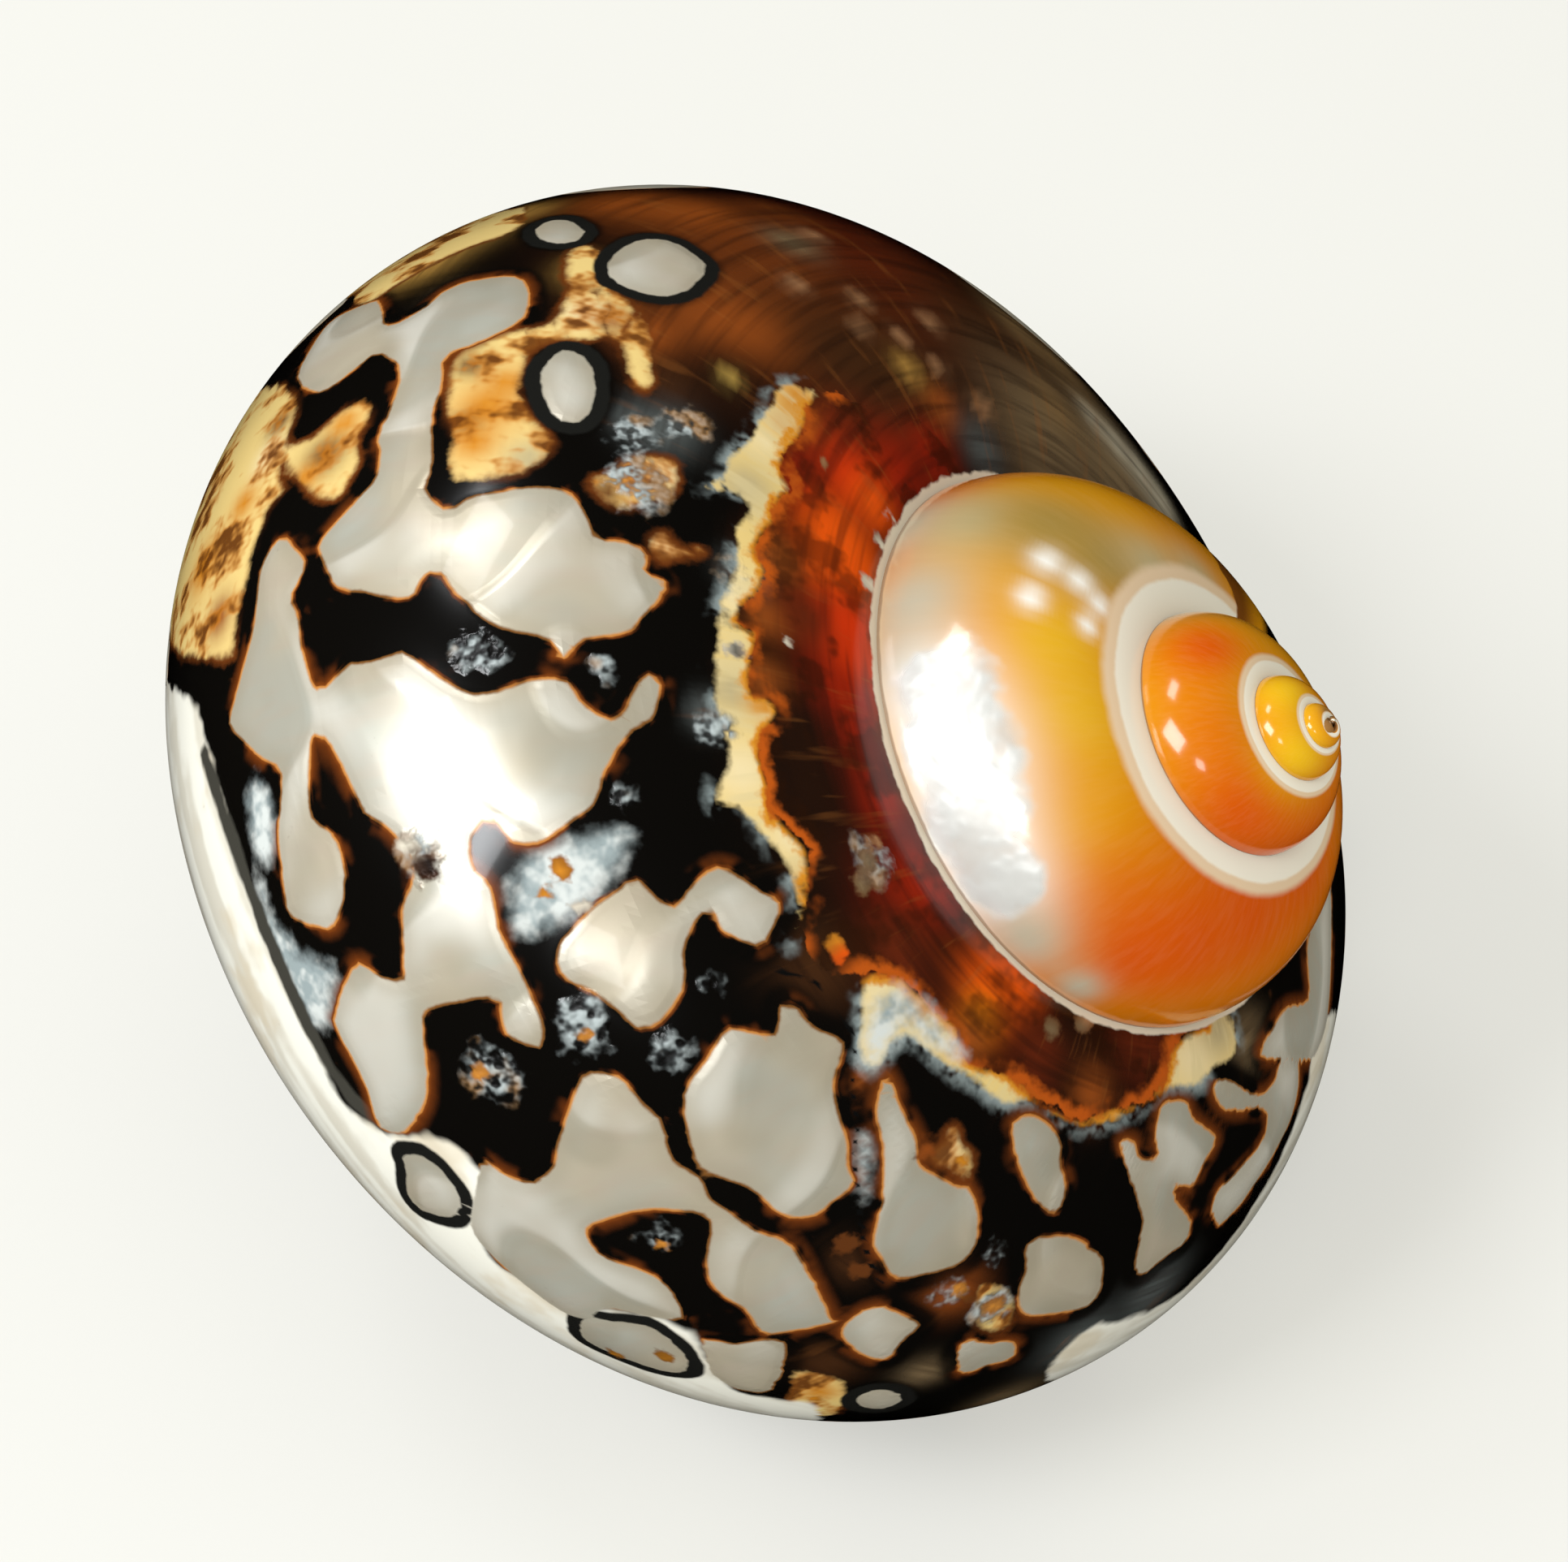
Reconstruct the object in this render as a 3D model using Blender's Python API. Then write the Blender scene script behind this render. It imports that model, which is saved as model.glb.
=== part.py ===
"""A turban shell lying mouth-down: a coiled tube with a round section, open at its last turn."""

import math

import bpy
import numpy as np

MM = 0.001

# The coil, in millimetres in its own frame: the axis is z and the apex is the origin.
GROWTH = 2.338
SECTION_OFFSET = 14.2
SECTION_DROP = 35.8
SECTION_RADIUS = 20.8
AXIS_CLEARANCE = 0.5
AXIS_BLEND = 2.5
HOLLOW_BLEND = 9.0
SUTURE = math.radians(71.3)

# The wall, and where the hollow of the last turn ends inside.
WALL = 1.7
COLUMELLA_WALL = 2.6
HOLLOW_END = math.radians(-70)
LAST_TURN_START = math.radians(-130)

# The table plane: the direction of its normal in the coil's frame, and its height along it.
REST_LEAN = math.radians(51.2)
REST_TURN = math.radians(56.7)
REST_HEIGHT = -41.4
GRIND = 0.8
FRONT_LEAN = math.radians(49.6)

# How the lip's edge rounds over: the share of the wall, and how far it stands past the lip.
LIP_EDGE = ((0.15, math.radians(1.8)), (0.5, math.radians(2.6)), (0.85, math.radians(1.8)))

# The lip along the columella, and behind it, where the edge runs inside the turn before.
# LIP_SEARCH holds the angles round the axis that are tried for where the tube meets the table.
LIP_BASE_FROM = math.radians(204)
LIP_HIDDEN_FROM = math.radians(300)
LIP_BASE_ANGLE = math.radians(110)
LIP_LATEST = math.radians(214)
LIP_SEARCH = np.radians(np.arange(60.0, 260.0, 0.5))

# The box the shell stands in, from the rest plane's own origin.
CENTRE_X = -27.96
CENTRE_Y = 19.75

# The pillar on the axis.
COLUMELLA_TOP = -0.9
COLUMELLA_FOOT = -66.0
COLUMELLA_TIP = 0.2
COLUMELLA_SPREAD = 0.06
COLUMELLA_ROWS = 8
COLUMELLA_SIDES = 16

# The bead at the apex, and how far from its poles its first and last rows are, in radians.
BEAD_RADIUS = 0.75
BEAD_DEPTH = 1.15
BEAD_OFFSET = 0.25
BEAD_POLE = 0.15

TABLE_BOX = ((-150, -150, -60), (150, 150, 0))
NACRE_COLOUR = (0.62, 0.55, 0.44, 1)
NACRE_ROUGHNESS = 0.2

# Facets.
LAST_ROWS = 40
HOLLOW_ROWS = 20
LAST_SIDES = 40
EARLY_TURN = math.radians(335)
EARLY_OVERLAP = math.radians(5)
EARLY_SHRINK = 0.03
BEAD_ROWS = 7
BEAD_SIDES = 12
EARLY_FACETS = ((30, 30), (22, 22), (16, 16), (12, 10))


def growth(turn):
    """How large the tube has grown at this angle round the axis."""
    return np.exp(math.log(GROWTH) * turn / (2 * math.pi))


def section(angle, inset, share):
    """The tube's section: its distance from the axis and its height, at unit growth.

    share is 0 on the outside and 1 in the hollow, which stays further from the axis.
    """
    reach = SECTION_OFFSET + (SECTION_RADIUS - inset) * np.cos(angle)
    clearance = AXIS_CLEARANCE + share * COLUMELLA_WALL
    blend = AXIS_BLEND + share * (HOLLOW_BLEND - AXIS_BLEND)
    reach = 0.5 * (reach + clearance + np.hypot(reach - clearance, blend))
    return reach, -SECTION_DROP + (SECTION_RADIUS - inset) * np.sin(angle)


def ring(turn, angle, inset=0.0, share=0.0):
    """Points round the tube, each at its own angle round the axis."""
    reach, height = section(angle, inset, share)
    size = growth(turn)
    return np.stack(
        (size * reach * np.cos(turn), -size * reach * np.sin(turn), size * height), -1
    )


def rest_normal():
    """The table's upward normal in the coil's frame."""
    return np.array((
        math.sin(REST_LEAN) * math.cos(REST_TURN),
        -math.sin(REST_LEAN) * math.sin(REST_TURN),
        math.cos(REST_LEAN),
    ))


def lip_angle(angle):
    """Where the growing tube first meets the table, for each point round its section."""
    found = np.empty(len(angle))
    for i, at in enumerate(angle):
        heights = ring(LIP_SEARCH, np.full(len(LIP_SEARCH), at)) @ rest_normal()
        below = np.nonzero(heights < REST_HEIGHT)[0]
        found[i] = LIP_SEARCH[below[0]] if len(below) else LIP_LATEST
    past_suture = SUTURE - angle
    hidden = (past_suture - LIP_HIDDEN_FROM) / (2 * math.pi - LIP_HIDDEN_FROM)
    along = LIP_BASE_ANGLE + (LIP_LATEST - LIP_BASE_ANGLE) * np.clip(hidden, 0, 1)
    return np.where(past_suture > LIP_BASE_FROM, along, np.minimum(found, LIP_LATEST))


def to_rest(points):
    """Coil frame to the frame where the shell lies on the table, its front towards -y."""
    up = rest_normal()
    back = -np.array((math.sin(FRONT_LEAN), 0.0, math.cos(FRONT_LEAN)))
    back -= up * (back @ up)
    back /= np.linalg.norm(back)
    right = np.cross(back, up)
    placed = points @ np.stack((right, back, up), -1)
    return placed - (CENTRE_X, CENTRE_Y, REST_HEIGHT + GRIND)


def tube(name, rings):
    """One closed surface through the rings, with a fan over each end."""
    sides = len(rings[0])
    ends = [rings[0].mean(axis=0), rings[-1].mean(axis=0)]
    points = to_rest(np.concatenate(rings + [np.array(ends)])) * MM
    faces = []
    for row in range(len(rings) - 1):
        for side in range(sides):
            here = row * sides + side
            beside = row * sides + (side + 1) % sides
            faces.append((here, here + sides, beside + sides, beside))
    last = (len(rings) - 1) * sides
    hub = len(rings) * sides
    for side in range(sides):
        after = (side + 1) % sides
        faces.append((hub, side, after))
        faces.append((hub + 1, last + after, last + side))
    mesh = bpy.data.meshes.new(name)
    mesh.from_pydata([tuple(point) for point in points], [], faces)
    mesh.polygons.foreach_set("use_smooth", [True] * len(mesh.polygons))
    return bpy.data.objects.new(name, mesh)


def round_section(sides):
    """Angles round the tube, starting at the suture and going outwards first."""
    return SUTURE - np.linspace(0, 2 * math.pi, sides, endpoint=False)


def last_turn():
    """The hollow last turn: outside to the lip, over its rounded edge, and back down the inside."""
    angle = round_section(LAST_SIDES)
    lip = lip_angle(angle)
    rings = []
    for share in np.linspace(0, 1, LAST_ROWS):
        rings.append(ring(LAST_TURN_START + (lip - LAST_TURN_START) * share, angle))
    for share, swell in LIP_EDGE:
        rings.append(ring(lip + swell, angle, share * WALL, share))
    for share in np.linspace(0, 1, HOLLOW_ROWS):
        turn = lip + (HOLLOW_END - lip) * share
        rings.append(ring(turn, angle, WALL, 1.0))
    return tube("shell", rings)


def early_turns():
    """The turns before the last, each a closed tube that runs a little way into the next."""
    turns = []
    end = LAST_TURN_START + EARLY_OVERLAP
    for number, (rows, sides) in enumerate(EARLY_FACETS):
        angle = round_section(sides)
        start = end - EARLY_TURN - EARLY_OVERLAP
        rings = []
        for turn in np.linspace(start, end, rows):
            rings.append(ring(np.full(sides, turn), angle, EARLY_SHRINK))
        turns.append(tube(f"early_turn_{number + 1}", rings))
        end = start + EARLY_OVERLAP
    return turns


def columella():
    """The pillar along the axis, widening towards the base."""
    around = np.linspace(0, 2 * math.pi, COLUMELLA_SIDES, endpoint=False)
    rings = []
    for height in np.linspace(COLUMELLA_TOP, COLUMELLA_FOOT, COLUMELLA_ROWS):
        reach = COLUMELLA_TIP - COLUMELLA_SPREAD * height
        level = np.full(COLUMELLA_SIDES, height)
        rings.append(np.stack((reach * np.cos(around), -reach * np.sin(around), level), -1))
    return tube("columella", rings[::-1])


def apex_bead():
    """The round first chamber at the tip."""
    around = np.linspace(0, 2 * math.pi, BEAD_SIDES, endpoint=False)
    rings = []
    for down in np.linspace(math.pi - BEAD_POLE, BEAD_POLE, BEAD_ROWS):
        reach = BEAD_RADIUS * math.sin(down)
        level = np.full(BEAD_SIDES, BEAD_RADIUS * math.cos(down) - BEAD_DEPTH)
        side = (BEAD_OFFSET + reach * np.cos(around), -reach * np.sin(around))
        rings.append(np.stack((*side, level), -1))
    return tube("apex_bead", rings)


def table():
    """The block under the table plane, which grinds the rim flat."""
    mesh = bpy.data.meshes.new("table")
    low, high = np.array(TABLE_BOX) * MM
    corners = [(x, y, z) for z in (low[2], high[2]) for y in (low[1], high[1]) for x in (low[0], high[0])]
    sides = ((0, 2, 3, 1), (4, 5, 7, 6), (0, 1, 5, 4), (2, 6, 7, 3), (0, 4, 6, 2), (1, 3, 7, 5))
    mesh.from_pydata(corners, [], sides)
    return bpy.data.objects.new("table", mesh)


def shell_material():
    """Polished nacre under a dark outer layer, in one plain tone."""
    material = bpy.data.materials.new("nacre")
    material.use_nodes = True
    principled = material.node_tree.nodes["Principled BSDF"]
    principled.inputs["Base Color"].default_value = NACRE_COLOUR
    principled.inputs["Roughness"].default_value = NACRE_ROUGHNESS
    return material


def join(target, other, operation):
    """Adds one Boolean to the target."""
    step = target.modifiers.new(other.name, "BOOLEAN")
    step.operation = operation
    step.solver = "EXACT"
    step.object = other


def build():
    for old in list(bpy.data.objects):
        bpy.data.objects.remove(old, do_unlink=True)
    shown = bpy.data.collections.new("turban_shell")
    helpers = bpy.data.collections.new("helpers")
    helpers.hide_render = True
    bpy.context.scene.collection.children.link(shown)
    bpy.context.scene.collection.children.link(helpers)
    shell = last_turn()
    shown.objects.link(shell)
    shell.data.materials.append(shell_material())
    for piece in early_turns() + [columella(), apex_bead(), table()]:
        helpers.objects.link(piece)
        piece.hide_render = True
        piece.display_type = "WIRE"
        join(shell, piece, "DIFFERENCE" if piece.name == "table" else "UNION")


build()
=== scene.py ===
"""A polished turban shell lying mouth-down on a pale table."""

import math

import bpy
import numpy as np
from mathutils import Matrix, Vector
from mathutils.bvhtree import BVHTree
from mathutils.kdtree import KDTree


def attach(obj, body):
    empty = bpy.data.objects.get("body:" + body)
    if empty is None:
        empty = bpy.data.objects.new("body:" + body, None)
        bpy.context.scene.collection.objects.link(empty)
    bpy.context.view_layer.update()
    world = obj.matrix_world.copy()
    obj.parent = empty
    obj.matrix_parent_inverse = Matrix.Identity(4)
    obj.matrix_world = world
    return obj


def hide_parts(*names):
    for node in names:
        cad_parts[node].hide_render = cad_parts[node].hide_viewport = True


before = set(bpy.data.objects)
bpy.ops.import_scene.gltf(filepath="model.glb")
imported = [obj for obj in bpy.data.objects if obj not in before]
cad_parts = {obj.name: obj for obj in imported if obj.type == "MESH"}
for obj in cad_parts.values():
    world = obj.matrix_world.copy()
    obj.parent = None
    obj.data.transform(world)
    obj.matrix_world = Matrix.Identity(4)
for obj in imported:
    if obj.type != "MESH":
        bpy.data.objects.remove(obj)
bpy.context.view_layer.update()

MM = 0.001

# The coil, in millimetres in its own frame: the axis is z and the apex is the origin.
GROWTH = 2.338
SECTION_OFFSET = 14.2
SECTION_DROP = 35.8
SECTION_RADIUS = 20.8
AXIS_CLEARANCE = 0.5
AXIS_BLEND = 2.5
HOLLOW_BLEND = 9.0
SUTURE = math.radians(71.3)
WALL = 1.7
COLUMELLA_WALL = 2.6
HOLLOW_END = math.radians(-70)

# The table plane and the shell's place on it.
REST_LEAN = math.radians(51.2)
REST_TURN = math.radians(56.7)
REST_HEIGHT = -41.4
GRIND = 0.8
FRONT_LEAN = math.radians(49.6)
CENTRE_X = -27.96
CENTRE_Y = 19.75

# The lip: its rounded edge, and its course along the columella and behind it.
LIP_EDGE = ((0.15, math.radians(1.8)), (0.5, math.radians(2.6)), (0.85, math.radians(1.8)))
LIP_BASE_FROM = math.radians(204)
LIP_HIDDEN_FROM = math.radians(300)
LIP_BASE_ANGLE = math.radians(110)
LIP_LATEST = math.radians(214)
LIP_SEARCH = np.radians(np.arange(60.0, 260.0, 0.5))

# The pillar on the axis and the bead at the apex.
COLUMELLA_TOP = -0.9
COLUMELLA_TIP = 0.2
COLUMELLA_SPREAD = 0.06
BEAD_RADIUS = 0.75
BEAD_DEPTH = 1.15
BEAD_OFFSET = 0.25
BEAD_POLE = 0.15
BEAD_TURN = -24.0

# How finely the shell is meshed. Angles round the section go from the suture outwards.
SHOWN_FROM = math.radians(94)
SHOWN_TO = math.radians(-140)
SHOWN_SIDES = 158
HIDDEN_SIDES = 30
BODY_START = math.radians(-330)
DENSE_START = math.radians(-190)
DENSE_END = math.radians(60)
BELLY_ROWS = 44
DENSE_ROWS = 300
LIP_ROWS = 70
HOLLOW_ROWS = 30
SPIRE_FROM = math.radians(94)
SPIRE_TO = math.radians(-4)
SPIRE_FACETS = ((120, 44, 12), (70, 32, 10), (44, 24, 8), (26, 16, 8))
SPIRE_TURN = math.radians(335)
PILLAR_ROWS = 24
PILLAR_SIDES = 32
BEAD_ROWS = 9
BEAD_SIDES = 16

# Past the outline, by the cosine to the line of sight: where the rims' zones end at the latest,
# how fast they give way, and in millimetres how wide and how ragged they still are there.
RIM_BEHIND = -0.5
RIM_FADE = 8.0
RIM_REACH = 1.2
RIM_RAGGED = 0.35
RIM_SWAY = 1.3
SWAY_FROM = (-0.15, 0.1)

# The smooth shell's size beside the faceted solid's, whose box it stays in.
FACET_TRIM = 0.9955

# The turns between which the orange of the early whorls gives way, and the section angles.
SPIRE_FADE = (math.radians(-235), math.radians(-200))
SPIRE_LOWEST = (math.radians(-75), math.radians(-45))

# Random fields: a seed, and the longest and shortest wave in millimetres.
FAR_PATCHES = (11, 26, 10)
FAR_EDGES = (12, 9, 5)
SWAY = (13, 14, 6)
WARM_ZONES = (5, 30, 14)

# The far side's patches: the heights of their two fields, and a shift that leaves more pearl. They
# give way where the surface faces the camera, and to the zones along the rims.
PATCH_HEIGHT = 2.4
EDGE_HEIGHT = 0.5
MORE_PEARL = 0.2
SHOWN_FACING = (0.03, 0.22)
SHOWN_DEPTH = 12
ZONE_EDGE = (-0.5, 1.0)
ZONE_DEPTH = 6

# The photograph: its size, and the camera's place in millimetres, turn and lens.
PHOTO_SIZE = (1932, 1924)
CAMERA_PLACE = (0.086, -143.49, 171.32)
CAMERA_PITCH = math.radians(90 - 47.04)
CAMERA_ROLL = math.radians(-2.95)
CAMERA_TURN = math.radians(0.03)
SENSOR = 36.0
LENS = 83.08

# The soft room round the shell, and the glow of the lit tabletop.
ROOM_COLOUR = (1.0, 0.975, 0.86, 1)
ROOM_STRENGTH = 0.80
TABLE_GLOW_COLOUR = (0.985, 0.985, 0.93, 1)
TABLE_GLOW = 0.47

# The lamps: place and size in metres, and power in watts.
LAMP_AIM = (0, -0.01, 0.03)
LAMP_COLOUR = (0.96, 0.98, 1.0)
LAMPS = (
    ("left_window", (-0.385, -0.20, 0.50), (0.27, 0.23), 2.6),
    ("back_window", (-0.21, 0.19, 0.56), (0.16, 0.10), 0.5),
    ("front_window", (-0.12, -0.44, 0.42), (0.10, 0.10), 0.3),
)

# Outlines of the ground patches, as points of the photograph.
PEARL_OUTLINES = {
    "upper_net": (
        (368, 458), (399, 405), (426, 385), (465, 372), (476, 401), (518, 382), (549, 358), (584, 345),
        (642, 343), (647, 389), (584, 424), (549, 439), (543, 482), (534, 508), (532, 578), (524, 601),
        (549, 628), (580, 612), (618, 605), (657, 599), (700, 606), (723, 635), (735, 662), (769, 668),
        (788, 674), (798, 687), (794, 706), (819, 716), (815, 735), (790, 762), (773, 778), (719, 788),
        (700, 808), (684, 805), (680, 789), (615, 774), (592, 758), (565, 735), (542, 706), (522, 710),
        (507, 735), (472, 735), (418, 724), (407, 712), (393, 674), (411, 647), (442, 612), (465, 582),
        (467, 535), (480, 505), (493, 466), (488, 447), (463, 437), (442, 451), (399, 482), (376, 478),
    ),
    "left_and_middle": (
        (345, 664), (322, 700), (311, 778), (288, 865), (284, 895), (322, 934), (345, 949), (345, 995),
        (343, 1030), (353, 1115), (368, 1134), (399, 1142), (415, 1134), (426, 1084), (411, 1030),
        (384, 1003), (382, 926), (390, 905), (407, 918), (438, 980), (449, 1003), (484, 1026),
        (507, 1060), (507, 1088), (495, 1118), (497, 1180), (495, 1207), (465, 1199), (438, 1188),
        (415, 1242), (415, 1268), (449, 1334), (468, 1389), (500, 1393), (524, 1357), (526, 1318),
        (522, 1253), (534, 1242), (565, 1236), (611, 1230), (618, 1253), (626, 1276), (649, 1288),
        (665, 1290), (670, 1265), (649, 1211), (618, 1149), (603, 1092), (582, 1065), (582, 1030),
        (603, 1007), (630, 1036), (668, 1036), (711, 1007), (729, 995), (740, 972), (746, 949),
        (773, 907), (802, 888), (811, 865), (815, 842), (804, 830), (788, 838), (777, 857), (767, 878),
        (750, 886), (723, 870), (695, 838), (653, 838), (603, 853), (576, 851), (549, 838), (503, 805),
        (488, 805), (449, 817), (430, 817), (393, 849), (374, 807), (368, 762), (359, 735), (376, 697),
        (361, 672),
    ),
    "right_of_middle": (
        (700, 1149), (731, 1118), (758, 1099), (781, 1084), (796, 1093), (825, 1117), (838, 1109),
        (854, 1088), (888, 1068), (931, 1093), (961, 1115), (946, 1155), (931, 1165), (892, 1147),
        (877, 1122), (861, 1130), (844, 1168), (842, 1215), (815, 1257), (796, 1265), (777, 1261),
        (731, 1222), (700, 1209), (686, 1190), (688, 1165),
    ),
    "low_left": (
        (697, 1380), (716, 1328), (737, 1321), (759, 1325), (798, 1364), (813, 1378), (831, 1429),
        (863, 1450), (874, 1475), (895, 1490), (931, 1515), (972, 1532), (1000, 1575), (1022, 1621),
        (1020, 1630), (954, 1643), (938, 1640), (917, 1612), (892, 1597), (874, 1576), (870, 1547),
        (876, 1511), (863, 1495), (795, 1490), (741, 1504), (723, 1518), (745, 1547), (813, 1576),
        (841, 1623), (795, 1622), (752, 1613), (698, 1619), (590, 1530), (583, 1475), (594, 1429),
        (619, 1445), (651, 1456), (669, 1450), (683, 1432), (687, 1407),
    ),
    "low_middle": (
        (850, 1330), (869, 1307), (885, 1280), (900, 1266), (938, 1276), (950, 1280), (958, 1261),
        (960, 1241), (969, 1236), (985, 1245), (996, 1261), (1035, 1280), (1038, 1295), (1027, 1334),
        (1035, 1374), (1044, 1409), (1045, 1438), (1051, 1460), (1026, 1481), (1004, 1497), (972, 1499),
        (950, 1485), (922, 1463), (863, 1439), (847, 1393), (842, 1360),
    ),
    "teardrop": (
        (1090, 1325), (1079, 1374), (1087, 1409), (1087, 1474), (1076, 1528), (1087, 1553), (1103, 1575),
        (1144, 1569), (1176, 1560), (1198, 1542), (1205, 1510), (1202, 1481), (1191, 1463), (1180, 1463),
        (1158, 1449), (1133, 1435), (1130, 1406), (1115, 1374), (1101, 1341),
    ),
    "foot_left": (
        (863, 1650), (903, 1655), (940, 1650), (968, 1654), (966, 1682), (957, 1704), (939, 1716),
        (902, 1709), (875, 1690), (868, 1668),
    ),
    "foot_middle": (
        (1038, 1639), (1058, 1618), (1083, 1609), (1108, 1618), (1133, 1632), (1115, 1650), (1094, 1673),
        (1069, 1671), (1047, 1657),
    ),
    "long_drop": (
        (1248, 1384), (1270, 1374), (1291, 1384), (1307, 1406), (1307, 1435), (1313, 1460), (1307, 1488),
        (1295, 1494), (1277, 1478), (1263, 1453), (1250, 1420),
    ),
    "low_right": (
        (1264, 1535), (1284, 1524), (1320, 1524), (1349, 1542), (1359, 1553), (1356, 1589), (1338, 1610),
        (1298, 1618), (1263, 1618), (1254, 1593), (1263, 1567),
    ),
    "right_fork": (
        (1433, 1360), (1460, 1357), (1470, 1377), (1497, 1400), (1495, 1413), (1483, 1433), (1470, 1460),
        (1447, 1460), (1450, 1480), (1467, 1507), (1460, 1530), (1430, 1553), (1410, 1570), (1398, 1563),
        (1403, 1530), (1407, 1503), (1400, 1473), (1390, 1447), (1380, 1407), (1397, 1407), (1403, 1423),
        (1417, 1430), (1427, 1423), (1423, 1397),
    ),
    "right_rim": (
        (1493, 1490), (1500, 1467), (1520, 1447), (1547, 1417), (1560, 1393), (1557, 1368), (1513, 1367),
        (1498, 1353), (1497, 1333), (1513, 1330), (1550, 1348), (1570, 1333), (1577, 1310), (1600, 1312),
        (1590, 1380), (1545, 1460), (1505, 1507),
    ),
    "right_strip": (
        (1553, 1300), (1563, 1275), (1583, 1243), (1607, 1235), (1613, 1223), (1610, 1167), (1618, 1117),
        (1622, 1060), (1638, 1080), (1641, 1150), (1636, 1250), (1620, 1300), (1600, 1306),
    ),
    "foot_right": (
        (1178, 1668), (1194, 1650), (1216, 1654), (1248, 1654), (1248, 1672), (1216, 1682), (1187, 1691),
    ),
}

# Patches with a dark ring of their own.
RINGED_OUTLINES = {
    "ringed_low": (
        (495, 1421), (526, 1425), (551, 1450), (567, 1472), (565, 1493), (551, 1500), (518, 1490),
        (500, 1468), (499, 1439),
    ),
    "ringed_middle": (
        (699, 430), (718, 436), (731, 452), (736, 480), (730, 505), (716, 520), (695, 521), (680, 512),
        (668, 490), (664, 465), (672, 445), (685, 434),
    ),
    "ringed_top": (
        (748, 322), (765, 305), (790, 294), (820, 295), (845, 305), (865, 320), (873, 332), (862, 345),
        (845, 360), (820, 366), (790, 362), (765, 352), (750, 342),
    ),
    "ringed_foot": (
        (714, 1630), (723, 1621), (752, 1626), (795, 1631), (823, 1648), (845, 1669), (849, 1687),
        (820, 1690), (760, 1670), (720, 1650),
    ),
    "small_top": (
        (657, 286), (668, 275), (690, 270), (712, 275), (722, 286), (712, 297), (690, 301), (668, 297),
    ),
    "small_foot": (
        (1054, 1725), (1065, 1714), (1085, 1711), (1105, 1715), (1112, 1724), (1100, 1733), (1080, 1736),
        (1062, 1734),
    ),
}

# Outlines of the cream and ochre zones, where the dark layer is ground thin.
CREAM_OUTLINES = {
    "upper_fan": (
        (565, 435), (611, 412), (647, 405), (676, 397), (704, 360), (735, 350), (777, 370), (777, 400),
        (735, 418), (668, 425), (642, 458), (645, 489), (657, 516), (684, 547), (645, 583), (603, 591),
        (565, 597), (553, 582), (551, 528), (549, 489),
    ),
    "left_eye": (
        (449, 493), (459, 505), (442, 547), (445, 566), (434, 589), (418, 612), (388, 612), (361, 589),
        (349, 566), (357, 551), (384, 539), (411, 516), (430, 501),
    ),
    "left_strip": (
        (361, 482), (365, 512), (353, 547), (345, 585), (353, 605), (334, 624), (322, 651), (311, 689),
        (299, 739), (290, 782), (280, 812), (215, 800), (205, 740), (218, 662), (245, 590), (280, 530),
        (322, 480),
    ),
    "top_rim": (
        (430, 352), (470, 320), (520, 290), (580, 268), (640, 256), (652, 272), (620, 290), (590, 300),
        (540, 322), (500, 345), (460, 370), (440, 375),
    ),
    "top_middle": (
        (700, 312), (730, 302), (748, 325), (762, 348), (735, 362), (700, 350),
    ),
    "amber_arm": (
        (745, 385), (775, 378), (795, 400), (804, 450), (795, 485), (777, 470), (768, 430), (750, 410),
    ),
    "rough_orange": (
        (725, 590), (755, 580), (775, 565), (800, 560), (835, 570), (838, 590), (835, 600), (810, 615),
        (775, 628), (745, 622), (728, 608),
    ),
    "knob": (
        (798, 668), (812, 655), (828, 660), (840, 672), (867, 674), (860, 685), (835, 688), (815, 690),
    ),
    "teardrop_corner": (
        (1133, 1424), (1130, 1406), (1151, 1417), (1173, 1388), (1187, 1406), (1198, 1431), (1187, 1449),
    ),
    "foot_ochre": (
        (979, 1686), (1020, 1695), (1044, 1705), (1035, 1740), (990, 1743), (960, 1730), (975, 1705),
    ),
    "foot_chip": (
        (1205, 1582), (1235, 1585), (1248, 1605), (1240, 1635), (1215, 1640), (1205, 1625),
    ),
}

# The red band under the suture: its left and its low edge, which the rims share, and its outline.
BAND_LEFT = (
    (1023, 485), (1000, 497), (985, 539), (969, 555), (961, 585), (979, 599), (961, 616), (954, 639),
    (942, 655), (931, 678), (942, 697), (938, 724), (915, 747), (908, 770), (931, 778), (931, 793),
    (923, 826), (927, 857), (950, 861), (956, 880), (942, 903), (938, 930), (946, 961), (954, 995),
    (969, 1018), (994, 1045), (996, 1088), (994, 1115), (985, 1141),
)
BAND_LOW = (
    (1065, 1199), (1104, 1199), (1131, 1222), (1154, 1245), (1177, 1265), (1188, 1295), (1200, 1311),
    (1238, 1322), (1269, 1338), (1313, 1370), (1340, 1377), (1367, 1367), (1403, 1357), (1423, 1340),
    (1437, 1320), (1440, 1300), (1457, 1277),
)
BAND_OUTLINE = (
    *BAND_LEFT, (1019, 1188), *BAND_LOW, (1490, 1245), (1413, 1235), (1347, 1225), (1300, 1215),
    (1270, 1190), (1230, 1134), (1190, 1072), (1150, 1030), (1118, 949), (1100, 849), (1100, 780),
    (1108, 716), (1125, 670), (1150, 630), (1190, 600), (1200, 560), (1146, 520), (1080, 500),
)

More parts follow.
